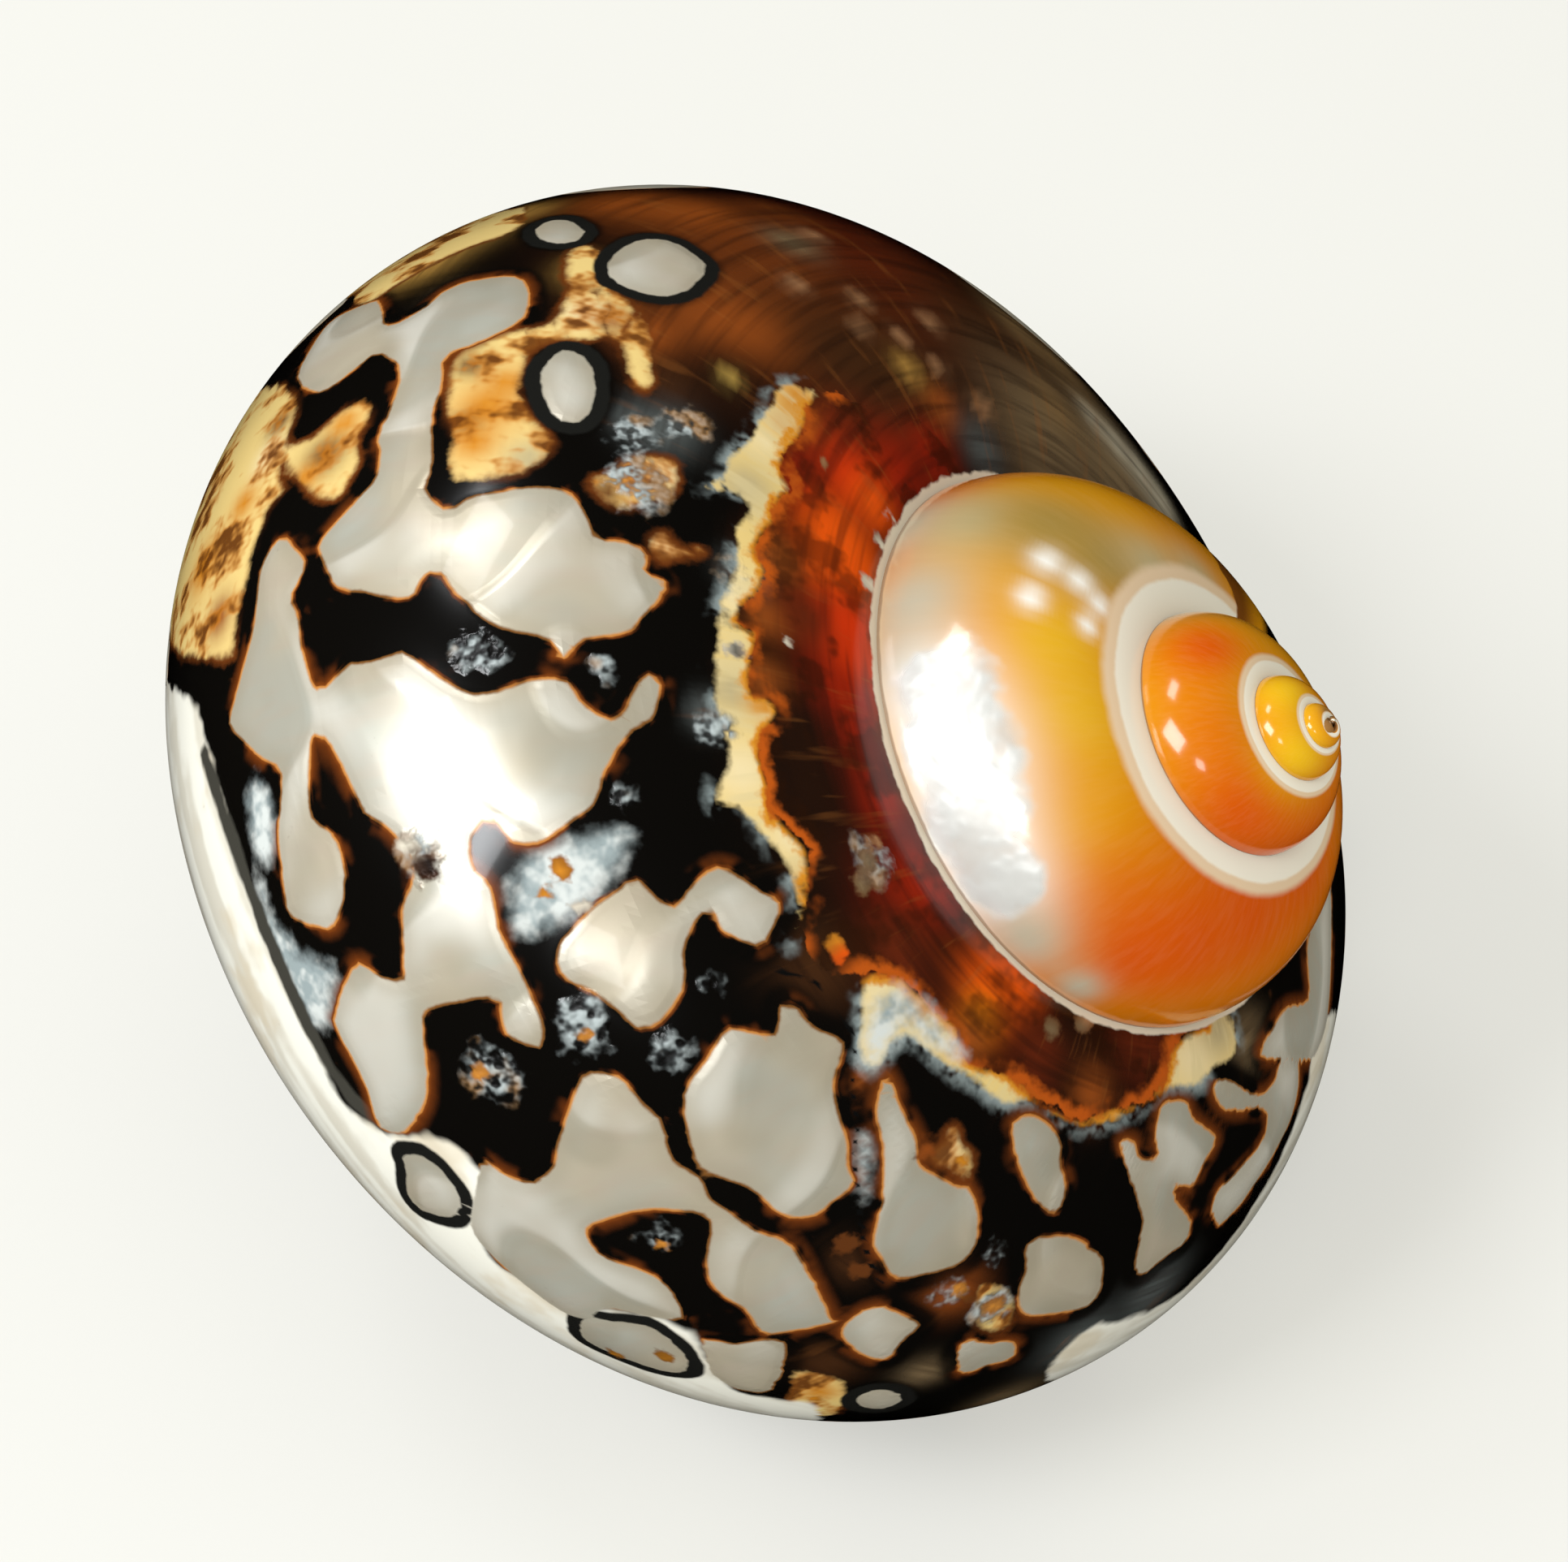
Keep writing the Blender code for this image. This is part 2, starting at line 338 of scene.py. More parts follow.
# The cream rims along the band, where it meets the black.
RIM_OUTLINES = {
    "band_rim": (
        (961, 474), (950, 501), (931, 524), (915, 551), (900, 566), (888, 589), (865, 601), (908, 608),
        (921, 628), (904, 651), (908, 678), (900, 716), (888, 751), (881, 778), (881, 861), (894, 907),
        (896, 934), (881, 988), (908, 995), (927, 1015), (954, 1045), (973, 1076), (983, 1107),
        (973, 1161), *reversed(BAND_LEFT),
    ),
    "band_foot": (
        *BAND_LOW, (1480, 1263), (1505, 1245), (1520, 1262), (1520, 1303), (1493, 1317), (1477, 1333),
        (1447, 1340), (1420, 1353), (1390, 1372), (1350, 1385), (1313, 1382), (1270, 1355), (1238, 1357),
        (1200, 1330), (1169, 1315), (1146, 1295), (1123, 1276), (1100, 1280), (1085, 1307), (1073, 1311),
        (1060, 1290), (1062, 1250),
    ),
}

# Soft bluish-white zones, where the pearl shows through.
FROST_OUTLINES = {
    "middle": (
        (638, 1061), (672, 1045), (718, 1026), (757, 1011), (780, 1026), (772, 1057), (749, 1084),
        (718, 1111), (692, 1134), (649, 1157), (634, 1142), (628, 1111),
    ),
    "left": (
        (320, 1088), (334, 1126), (361, 1157), (388, 1176), (411, 1195), (407, 1226), (399, 1261),
        (376, 1257), (357, 1234), (334, 1199), (322, 1161), (318, 1118),
    ),
    "notch": (
        (1075, 1235), (1110, 1215), (1150, 1250), (1185, 1300), (1150, 1290), (1120, 1262), (1090, 1285),
        (1072, 1300),
    ),
    "crack": (
        (1060, 1400), (1075, 1410), (1076, 1440), (1068, 1480), (1058, 1470), (1056, 1430),
    ),
    "left_upper": (
        (305, 970), (322, 960), (335, 985), (338, 1020), (330, 1060), (316, 1050), (304, 1010),
    ),
}

# The pale zone along the rims, beyond the black layer, which is a painted reflection of the pale table, and
# the dark line along the left one.
LIMB_OUTLINES = {
    "left": (
        (235, 860), (262, 945), (290, 1040), (318, 1130), (352, 1205), (385, 1275), (415, 1345),
        (455, 1385), (495, 1398), (540, 1400), (585, 1432), (620, 1470), (600, 1540), (660, 1590),
        (700, 1606), (760, 1612), (830, 1628), (868, 1662), (905, 1712), (960, 1722), (1010, 1745),
        (950, 1900), (500, 1800), (200, 1500), (100, 1100), (150, 860),
    ),
    "right": (
        (1300, 1712), (1337, 1640), (1426, 1611), (1489, 1558), (1542, 1486), (1578, 1424), (1612, 1334),
        (1630, 1254), (1720, 1254), (1700, 1550), (1500, 1780),
    ),
}
DARK_RIM = (
    (252, 930), (275, 1000), (300, 1075), (325, 1140), (352, 1205), (378, 1262), (405, 1310), (435, 1355),
    (470, 1385),
)

# Rough spots: a point of the photograph and a radius in millimetres.
PITS = (
    (591, 795, 1.5), (515, 1052, 1.3), (720, 1265, 1.7), (608, 1326, 1.7), (777, 538, 1.5),
    (840, 520, 1.4), (780, 595, 2.0), (750, 825, 0.8), (820, 1530, 1.4), (880, 1210, 0.9),
    (830, 1300, 1.1), (1220, 1550, 1.0), (910, 705, 1.0), (1075, 1060, 1.4), (880, 900, 1.2),
    (770, 990, 1.2), (1220, 1610, 1.2), (1170, 1590, 1.2),
)

# The thin growth crack down the body.
CRACK = (
    (950, 1190), (969, 1199), (1000, 1207), (1019, 1222), (1038, 1249), (1050, 1272), (1054, 1299),
    (1050, 1340), (1056, 1390), (1052, 1430), (1060, 1500), (1068, 1545), (1090, 1590),
)

# Tones, as light that the surface sends back.
BLACK = (0.003, 0.0025, 0.002)
BROWN_BLACK = (0.016, 0.006, 0.003)
DEEP_BROWN = (0.050, 0.018, 0.006)
MAROON = (0.11, 0.016, 0.004)
CHESTNUT = (0.135, 0.032, 0.006)
RUST = (0.26, 0.060, 0.008)
TAN = (0.34, 0.17, 0.08)
DULL_RED = (0.30, 0.014, 0.002)
BRIGHT_RED = (0.62, 0.034, 0.002)
RED_ORANGE = (0.82, 0.095, 0.002)
GREY_BROWN = (0.17, 0.115, 0.06)
# Pale ash along the upper right outline: partly the shell's own tone, partly a painted reflection.
ASH_AND_REFLECTION = (0.46, 0.41, 0.31)
SLATE = (0.075, 0.085, 0.085)
SILVER = (0.86, 0.84, 0.80)
BLUSH = (0.46, 0.40, 0.30)
OLIVE = (0.34, 0.22, 0.05)
PALE_OLIVE = (0.46, 0.38, 0.21)
YELLOW = (0.68, 0.37, 0.012)
GOLD = (0.66, 0.29, 0.003)
ORANGE = (0.62, 0.16, 0.002)
FLAME = (0.60, 0.080, 0.001)
LEMON = (0.74, 0.43, 0.008)
HORN = (0.20, 0.12, 0.05)
CREAM = (0.74, 0.55, 0.21)
WHEAT = (0.78, 0.65, 0.38)
AMBER = (0.58, 0.22, 0.015)
BARK = (0.11, 0.032, 0.007)
CHALK = (0.78, 0.74, 0.62)
MUSTARD = (0.42, 0.23, 0.05)

# Tones of the material's layers.
NACRE_WARM = (0.64, 0.57, 0.44)
NACRE_COOL = (0.58, 0.58, 0.51)
NACRE_PINK = (0.64, 0.53, 0.43)
NACRE_SHADE = (0.44, 0.40, 0.30)
# Painted highlight on the folds' crests, and painted shade in their troughs.
NACRE_PAINTED_HIGHLIGHT = (0.92, 0.89, 0.81)
NACRE_FOLD_SHADE = (0.44, 0.40, 0.31)
NACRE_EDGE = (0.48, 0.41, 0.29)
COVER_STREAK = (0.012, 0.005, 0.003)
COVER_GRAIN = (0.30, 0.10, 0.02)
BAND_MOTTLE = (0.02, 0.006, 0.002)
BAND_EDGE = (0.46, 0.085, 0.006)
STEEL = (0.24, 0.29, 0.30)
RIM_STREAK = (0.66, 0.55, 0.30)
RIM_AMBER = (0.62, 0.25, 0.02)
RIM_RED = (0.42, 0.085, 0.006)
CREAM_BLOTCH = (0.50, 0.17, 0.012)
CREAM_BARK = (0.10, 0.026, 0.004)
CREAM_EDGE = (0.24, 0.07, 0.008)
CREAM_HALO = (0.12, 0.030, 0.005)
FROST_DARK = (0.30, 0.36, 0.38)
FROST_PALE = (0.62, 0.66, 0.66)
# Painted reflection of the pale table along the outline, with its streaks and dark line.
LIMB_PAINTED_REFLECTION = (0.88, 0.87, 0.80)
LIMB_STREAK = (0.62, 0.58, 0.49)
LIMB_TAN = (0.66, 0.54, 0.36)
LIMB_LINE = (0.05, 0.048, 0.04)
RING_LINE = (0.010, 0.010, 0.009)
PEARL_GLOW = (0.16, 0.036, 0.005)
PEARL_BURNT = (0.16, 0.038, 0.005)
PEARL_FRINGE = (0.50, 0.20, 0.045)
PIT_DARK = (0.03, 0.038, 0.042)
PIT_PALE = (0.42, 0.48, 0.50)
PIT_OCHRE = (0.34, 0.16, 0.035)
CRACK_LINE = (0.004, 0.004, 0.004)
CALLUS = (0.72, 0.64, 0.52)
SPIRE_END = (0.13, 0.035, 0.005)
SPIRE_GRAIN = (0.80, 0.52, 0.26)
# Near-white painted sheen over the spire's silver nacre.
PAINTED_SHEEN = (0.90, 0.90, 0.88)
SUTURE_BLUSH = (0.74, 0.56, 0.38)
SUTURE_WHITE = (0.84, 0.80, 0.70)
# Painted shade in the suture's crease.
CREASE_SHADE = (0.20, 0.12, 0.07)
TABLE_TONES = ((0.35, 0.35, 0.34), (0.37, 0.37, 0.365))

# Section angles, in radians, between which the marks along the suture begin.
CALLUS_AT = (1.512, 1.522)
BLUSH_AT = (1.24, 1.31)
WHITE_AT = (1.34, 1.37)
# Below these angles the suture's crease is painted darker: painted shade.
CREASE_SHADE_AT = (0.048, 0.062)

# Scales of the material's noises, in waves per metre.
RAGGED = 1500.0
WAVY = 420.0
CLOUD = 130.0
SPECK = 1700.0
MOTTLE = 310.0
LEAVES = 62.0
NACRE_CLOUD = 240.0
RELIEF = 75.0
TABLE_CLOUD = 12.0

# The polish: the pearl's metal share, the bump, and the clear coat.
PEARL_METAL = 0.38
PLAIN_ROUGHNESS = 0.15
PEARL_ROUGHNESS = 0.16
PIT_ROUGHNESS = 0.35
BUMP_STRENGTH = 0.4
BUMP_HEIGHT = 0.0003
COAT = 0.3
COAT_ROUGHNESS = 0.05
SHELL_IOR = 1.45
TABLE_ROUGHNESS = 0.7

# The tabletop, in metres: its ends, half its width, and the bend up into the backdrop.
TABLE_FRONT = -1.2
TABLE_BACK = 0.6
TABLE_HALF = 1.8
TABLE_LEVEL = -0.00005
BEND = 0.5
BEND_STEPS = 12
BACKDROP_TOP = 1.6

# Soft spots of colour: a point of the photograph, a radius in millimetres, and the tone.
COVER_SPOTS = (
    (950, 330, 7.0, CHESTNUT), (1100, 330, 7.0, MAROON), (860, 380, 4.0, CHESTNUT),
    (1230, 430, 7.0, DEEP_BROWN), (1060, 450, 5.0, DEEP_BROWN), (560, 300, 2.4, MUSTARD),
    (600, 275, 2.0, RUST), (520, 330, 2.0, MUSTARD), (640, 262, 2.0, MUSTARD), (770, 250, 3.0, RUST),
    (860, 262, 3.0, RUST), (960, 262, 2.4, CHESTNUT), (735, 335, 1.6, MUSTARD), (905, 405, 3.0, RUST),
    (830, 470, 1.6, DEEP_BROWN), (800, 410, 1.6, RUST), (560, 370, 1.4, GREY_BROWN),
    (900, 470, 3.0, BROWN_BLACK), (1100, 500, 3.5, DEEP_BROWN), (1160, 500, 1.5, RUST),
    (1120, 455, 1.0, MUSTARD), (1290, 540, 5.0, GREY_BROWN), (1380, 600, 5.0, GREY_BROWN),
    (1210, 555, 1.8, SLATE), (1450, 680, 4.0, GREY_BROWN), (1300, 500, 2.0, HORN), (1250, 400, 2.5, HORN),
    # The ash spots along the upper right outline are partly a painted reflection.
    (1365, 540, 3.5, GREY_BROWN), (1432, 618, 1.7, ASH_AND_REFLECTION), (1457, 652, 1.7, ASH_AND_REFLECTION), (1405, 580, 1.7, ASH_AND_REFLECTION),
    (1482, 694, 1.7, ASH_AND_REFLECTION), (1375, 545, 1.5, ASH_AND_REFLECTION), (1505, 730, 1.5, ASH_AND_REFLECTION), (1345, 512, 1.3, ASH_AND_REFLECTION),
    (1305, 450, 3.0, HORN), (980, 350, 0.7, TAN), (1058, 368, 0.7, TAN), (1060, 402, 0.6, TAN),
    (1145, 395, 0.7, TAN), (1110, 415, 0.6, TAN), (1155, 452, 0.6, TAN), (1210, 500, 0.7, TAN),
    (898, 464, 0.6, OLIVE), (975, 298, 1.6, GREY_BROWN), (1000, 290, 0.8, TAN),
    (1100, 575, 2.6, DULL_RED), (1040, 530, 2.4, MAROON), (1150, 560, 2.0, DULL_RED),
    (990, 520, 1.2, RUST), (1050, 590, 2.4, BRIGHT_RED), (1000, 600, 1.8, DULL_RED),
    (1075, 620, 1.5, RED_ORANGE), (1030, 660, 2.2, RED_ORANGE), (1050, 700, 2.2, RED_ORANGE),
    (1020, 700, 1.4, RED_ORANGE), (1045, 770, 2.4, BRIGHT_RED), (1060, 820, 2.0, BRIGHT_RED),
    (1040, 860, 2.0, DULL_RED), (1062, 920, 2.0, DULL_RED), (1085, 985, 1.6, DULL_RED),
    (960, 690, 1.4, RUST), (950, 760, 1.2, RUST), (945, 840, 1.2, RUST), (990, 760, 1.5, MAROON),
    (985, 900, 2.4, BROWN_BLACK), (1000, 970, 2.4, BROWN_BLACK), (1020, 1050, 2.4, BROWN_BLACK),
    (1135, 1090, 2.6, DULL_RED), (1175, 1185, 2.0, BROWN_BLACK), (1110, 1170, 2.2, MAROON),
    (1225, 1215, 2.0, RED_ORANGE), (1262, 1215, 1.4, RED_ORANGE), (1210, 1250, 1.2, ORANGE),
    (1195, 1280, 1.0, RUST), (1320, 1290, 3.0, BROWN_BLACK), (1280, 1300, 1.6, MAROON),
    (1410, 1280, 2.4, MAROON), (1345, 1345, 1.2, RUST), (1010, 1190, 2.0, DEEP_BROWN),
    (1065, 1325, 0.8, RUST), (1050, 1555, 1.2, DEEP_BROWN), (1175, 1590, 1.4, RUST),
    (1020, 1680, 1.8, DEEP_BROWN), (1140, 1690, 1.2, GREY_BROWN), (1240, 1720, 2.0, GREY_BROWN),
    (1330, 1650, 2.0, SLATE), (1420, 1590, 2.0, SLATE), (1540, 1280, 1.4, GREY_BROWN),
    (915, 705, 1.0, SLATE), (872, 878, 0.9, SLATE), (820, 530, 1.6, SLATE), (780, 515, 1.0, SLATE),
)
CREAM_SPOTS = (
    (600, 500, 1.8, AMBER), (625, 470, 1.0, AMBER), (585, 545, 1.2, AMBER), (650, 565, 1.2, PALE_OLIVE),
    (580, 450, 0.9, BARK), (572, 520, 0.7, BARK), (720, 385, 1.2, WHEAT), (755, 392, 1.0, RUST),
    (400, 560, 1.5, BARK), (425, 520, 1.0, AMBER), (375, 590, 1.0, AMBER), (250, 700, 1.6, AMBER),
    (270, 760, 1.3, RUST), (300, 620, 1.2, AMBER), (330, 560, 1.2, WHEAT), (345, 520, 1.0, BARK),
    (980, 490, 1.3, AMBER), (965, 520, 1.0, AMBER), (940, 545, 1.0, WHEAT), (920, 600, 1.6, PALE_OLIVE),
    (905, 730, 1.4, WHEAT), (900, 850, 1.5, PALE_OLIVE), (940, 870, 0.8, AMBER), (915, 950, 1.6, WHEAT),
    (975, 1030, 1.2, WHEAT), (990, 1090, 0.8, AMBER), (1080, 1220, 1.0, WHEAT), (1140, 1240, 0.8, AMBER),
    (1185, 1290, 0.8, AMBER), (1470, 1300, 2.0, WHEAT), (1500, 1270, 1.4, PALE_OLIVE),
    (1330, 1375, 1.0, AMBER), (780, 590, 1.3, AMBER), (745, 605, 0.9, BARK), (820, 585, 0.9, WHEAT),
    (820, 670, 1.0, WHEAT), (1165, 1415, 1.0, WHEAT), (1010, 1715, 1.0, AMBER), (1225, 1605, 0.8, BARK),
)
SPIRE_SPOTS = (
    (1300, 790, 3.0, YELLOW), (1330, 880, 3.5, YELLOW), (1330, 1010, 3.5, GOLD),
    (1390, 1110, 3.2, ORANGE), (1400, 1180, 3.0, FLAME), (1470, 1160, 3.5, FLAME),
    (1540, 1120, 3.5, FLAME), (1600, 1060, 3.0, FLAME), (1120, 650, 3.0, BLUSH), (1125, 740, 3.2, BLUSH),
    (1110, 820, 2.4, BLUSH), (1150, 860, 2.8, SILVER), (1180, 930, 3.0, SILVER),
    (1190, 1010, 3.0, SILVER), (1225, 1090, 2.6, SILVER), (1265, 1155, 2.0, BLUSH),
    (1330, 1215, 1.2, BLUSH), (1200, 640, 3.0, PALE_OLIVE), (1290, 645, 3.6, OLIVE),
    (1360, 690, 3.2, OLIVE), (1425, 705, 2.6, PALE_OLIVE), (1480, 720, 2.4, PALE_OLIVE),
    (1290, 690, 0.9, SILVER), (1330, 715, 0.8, SILVER), (1270, 735, 0.8, SILVER),
    (1355, 745, 0.7, SILVER), (1340, 770, 0.6, SILVER), (1490, 800, 3.0, FLAME), (1500, 900, 3.0, ORANGE),
    (1540, 1000, 3.0, FLAME), (1585, 850, 2.0, LEMON), (1600, 930, 2.0, LEMON), (1637, 880, 0.5, HORN),
)

# Small marks on top of the rest: a point of the photograph, a radius in millimetres, and the tone.
FLECKS = (
    (1098, 637, 0.55, CHALK), (1084, 671, 0.55, CHALK), (1070, 718, 0.6, CHALK), (1112, 655, 0.45, CHALK),
    (902, 797, 0.75, CHALK), (905, 800, 0.42, BLACK), (527, 1068, 0.8, BLACK), (500, 1040, 0.55, CHALK),
    (690, 1072, 0.6, AMBER), (668, 1102, 0.5, AMBER), (716, 1118, 0.45, CHALK), (592, 1322, 0.6, AMBER),
    (722, 1275, 0.5, AMBER), (815, 1535, 0.6, AMBER), (1225, 1610, 0.6, AMBER), (1180, 1588, 0.6, AMBER),
    (1195, 1600, 0.4, BARK), (1068, 1060, 0.7, GREY_BROWN), (1078, 1035, 0.6, TAN),
    (1062, 1090, 0.6, GREY_BROWN), (1028, 1160, 0.5, AMBER), (1038, 1178, 0.5, RED_ORANGE),
    (1045, 1530, 0.8, BARK), (1060, 1565, 0.7, BARK), (1140, 1418, 0.6, RUST), (1185, 1430, 0.5, AMBER),
    (1295, 1268, 0.6, GREY_BROWN), (1332, 1262, 0.5, GREY_BROWN), (820, 1672, 0.7, AMBER),
    (760, 1668, 0.6, AMBER), (1000, 1722, 0.7, AMBER), (990, 570, 0.35, TAN), (1012, 566, 0.35, TAN),
    (1034, 562, 0.35, TAN), (1058, 560, 0.35, TAN), (1010, 742, 0.3, CHALK), (972, 790, 0.3, CHALK),
    (1340, 1255, 0.4, TAN),
)

# Where the spire's nacre shows bare: a point of the photograph and a radius in millimetres.
SILVER_SPOTS = (
    (1165, 850, 3.2), (1185, 920, 3.4), (1195, 1000, 3.2), (1230, 1075, 2.6),
)


def growth(turn):
    """How large the tube has grown at this angle round the axis."""
    return np.exp(math.log(GROWTH) * turn / (2 * math.pi))


def ring(turn, angle, inset=0.0, share=0.0):
    """Points round the tube. share is 0 on the outside and 1 in the hollow."""
    reach = SECTION_OFFSET + (SECTION_RADIUS - inset) * np.cos(angle)
    clearance = AXIS_CLEARANCE + share * COLUMELLA_WALL
    blend = AXIS_BLEND + share * (HOLLOW_BLEND - AXIS_BLEND)
    reach = 0.5 * (reach + clearance + np.hypot(reach - clearance, blend))
    height = -SECTION_DROP + (SECTION_RADIUS - inset) * np.sin(angle)
    size = growth(turn)
    return np.stack(
        (size * reach * np.cos(turn), -size * reach * np.sin(turn), size * height), -1
    )


def rest_normal():
    """The table's upward normal in the coil's frame."""
    return np.array((
        math.sin(REST_LEAN) * math.cos(REST_TURN),
        -math.sin(REST_LEAN) * math.sin(REST_TURN),
        math.cos(REST_LEAN),
    ))


def rest_axes():
    """The directions that the shell's right, back and up have in the coil's frame."""
    up = rest_normal()
    back = -np.array((math.sin(FRONT_LEAN), 0.0, math.cos(FRONT_LEAN)))
    back -= up * (back @ up)
    back /= np.linalg.norm(back)
    return np.stack((np.cross(back, up), back, up), -1)


def to_rest(points):
    """Coil frame to the frame where the shell lies on the table."""
    return points @ rest_axes() - (CENTRE_X, CENTRE_Y, REST_HEIGHT + GRIND)


def lip_angle(angle):
    """Where the growing tube first meets the table, for each point round its section."""
    found = np.empty(len(angle))
    for i, at in enumerate(angle):
        heights = ring(LIP_SEARCH, np.full(len(LIP_SEARCH), at)) @ rest_normal()
        below = np.nonzero(heights < REST_HEIGHT)[0]
        found[i] = LIP_SEARCH[below[0]] if len(below) else LIP_LATEST
    past_suture = np.mod(SUTURE - angle, 2 * math.pi)
    hidden = (past_suture - LIP_HIDDEN_FROM) / (2 * math.pi - LIP_HIDDEN_FROM)
    along = LIP_BASE_ANGLE + (LIP_LATEST - LIP_BASE_ANGLE) * np.clip(hidden, 0, 1)
    return np.where(past_suture > LIP_BASE_FROM, along, np.minimum(found, LIP_LATEST))


class Sheet:
    """Closed tubes gathered into one mesh, with the turn and the section angle of each point."""

    def __init__(self):
        self.points = []
        self.turns = []
        self.angles = []
        self.insides = []
        self.faces = []
        self.normals = []
        self.count = 0

    def add(self, rings, inside):
        """rings: (points, turns, angles) each. A fan closes both ends."""
        points = np.concatenate([row[0] for row in rings])
        turns = np.concatenate([row[1] for row in rings])
        angles = np.concatenate([row[2] for row in rings])
        sides = len(rings[0][0])
        rows = len(rings)
        ends = np.array([rings[0][0].mean(axis=0), rings[-1][0].mean(axis=0)])
        grid = np.arange(rows * sides).reshape(rows, sides)
        beside = np.roll(grid, -1, axis=1)
        quads = np.stack((grid[:-1], grid[1:], beside[1:], beside[:-1]), -1).reshape(-1, 4)
        hub = rows * sides
        first = np.stack((np.full(sides, hub), grid[0], beside[0]), -1)
        last = np.stack((np.full(sides, hub + 1), beside[-1], grid[-1]), -1)
        self.faces += (quads + self.count).tolist()
        self.faces += (first + self.count).tolist() + (last + self.count).tolist()
        self.points.append(np.concatenate((points, ends)))
        self.turns.append(np.concatenate((turns, turns[[0, -1]])))
        self.angles.append(np.concatenate((angles, angles[[0, -1]])))
        self.insides.append(np.concatenate((inside, inside[[0, -1]])))
        normals = np.zeros((len(points) + 2, 3))
        for row in (0, rows - 1):
            normals[row * sides:(row + 1) * sides] = outward(rings[row][1], rings[row][2])
        self.normals.append(normals)
        self.count += len(points) + 2


def outward(turn, angle):
    """The outside surface's normal, from small steps along the turn and round the section."""
    step = 1e-4
    along = ring(turn + step, angle) - ring(turn - step, angle)
    round_it = ring(turn, angle + step) - ring(turn, angle - step)
    normal = np.cross(round_it, along)
    normal /= np.linalg.norm(normal, axis=1)[:, None]
    return normal @ rest_axes()


def section_angles(start, stop, shown, hidden):
    """Angles round the tube, close together from start to stop and wide apart behind."""
    front = np.linspace(start, stop, shown, endpoint=False)
    back = np.linspace(stop, start - 2 * math.pi, hidden, endpoint=False)
    return np.concatenate((front, back))


def table_turn(angle, lip, inset, share):
    """Where each line along the tube meets the table plane, or the lip where that comes first."""
    met = lip.copy()
    for i, at in enumerate(angle):
        turns = np.append(LIP_SEARCH[LIP_SEARCH < lip[i]], lip[i])
        heights = ring(turns, np.full(len(turns), at), inset, share) @ rest_normal() - REST_HEIGHT - GRIND
        below = np.nonzero(heights < 0)[0]
        if len(below) and below[0] > 0:
            here = below[0]
            part = heights[here - 1] / (heights[here - 1] - heights[here])
            met[i] = turns[here - 1] + part * (turns[here] - turns[here - 1])
    return met


def body_tube(sheet):
    """The last turn: its outside to the lip, the rounded or ground edge, and the hollow."""
    angle = section_angles(SHOWN_FROM, SHOWN_TO, SHOWN_SIDES, HIDDEN_SIDES)
    sides = len(angle)
    lip = lip_angle(angle)
    outer_end = table_turn(angle, lip, 0.0, 0.0)
    inner_end = table_turn(angle, lip, WALL, 1.0)
    ground = outer_end < lip
    turns = []
    for start, stop, rows in ((BODY_START, DENSE_START, BELLY_ROWS), (DENSE_START, DENSE_END, DENSE_ROWS)):
        turns += [np.full(sides, turn) for turn in np.linspace(start, stop, rows, endpoint=False)]
    turns += [DENSE_END + (outer_end - DENSE_END) * share for share in np.linspace(0, 1, LIP_ROWS)]
    rings = [(ring(turn, angle), turn, angle) for turn in turns]
    inside = [0.0] * len(rings)
    outer_edge = ring(outer_end, angle)
    inner_edge = ring(inner_end, angle, WALL, 1.0)
    for share, swell in LIP_EDGE:
        rounded_edge = ring(lip + swell, angle, share * WALL, share)
        flat_edge = outer_edge + (inner_edge - outer_edge) * share
        edge = np.where(ground[:, None], flat_edge, rounded_edge)
        rings.append((edge, lip, angle))
        inside.append(share)
    for share in np.linspace(0, 1, HOLLOW_ROWS):
        turn = inner_end + (HOLLOW_END - inner_end) * share
        rings.append((ring(turn, angle, WALL, 1.0), turn, angle))
        inside.append(1.0)
    sheet.add(rings, np.repeat(inside, sides))


def spire_tubes(sheet):
    """The turns before the last, each a closed tube that meets the next at a shared ring."""
    end = BODY_START
    for rows, shown, hidden in SPIRE_FACETS:
        angle = section_angles(SPIRE_FROM, SPIRE_TO, shown, hidden)
        start = end - SPIRE_TURN
        rings = []
        for turn in np.linspace(start, end, rows):
            turns = np.full(len(angle), turn)
            rings.append((ring(turns, angle), turns, angle))
        sheet.add(rings, np.zeros(rows * len(angle)))
        end = start


def lathe(sheet, rows, sides, place, inside):
    """A closed form turned round the axis. place gives each row's reach, height and offset."""
    around = np.linspace(0, 2 * math.pi, sides, endpoint=False)
    rings = []
    for share in np.linspace(0, 1, rows):
        reach, level, offset = place(share, around)
        points = np.stack((offset + reach * np.cos(around), -reach * np.sin(around), level), -1)
        rings.append((points, np.full(sides, BEAD_TURN), np.zeros(sides)))
    before = len(sheet.normals)
    sheet.add(rings, np.full(rows * sides, inside))
    sheet.normals[before][:] = 0


def columella_row(share, around):
    """A row of the pillar. Each of its lines starts where it meets the table."""
    up = rest_normal()
    outwards = np.cos(around) * up[0] - np.sin(around) * up[1]
    foot = (REST_HEIGHT + GRIND - COLUMELLA_TIP * outwards) / (up[2] - COLUMELLA_SPREAD * outwards)
    level = foot + (COLUMELLA_TOP - foot) * share
    return COLUMELLA_TIP - COLUMELLA_SPREAD * level, level, 0.0


def bead_row(share, around):
    """A row of the bead, from its lower pole to its upper one."""
    down = math.pi - BEAD_POLE - (math.pi - 2 * BEAD_POLE) * share
    level = np.full(len(around), BEAD_RADIUS * math.cos(down) - BEAD_DEPTH)
    return BEAD_RADIUS * math.sin(down), level, BEAD_OFFSET


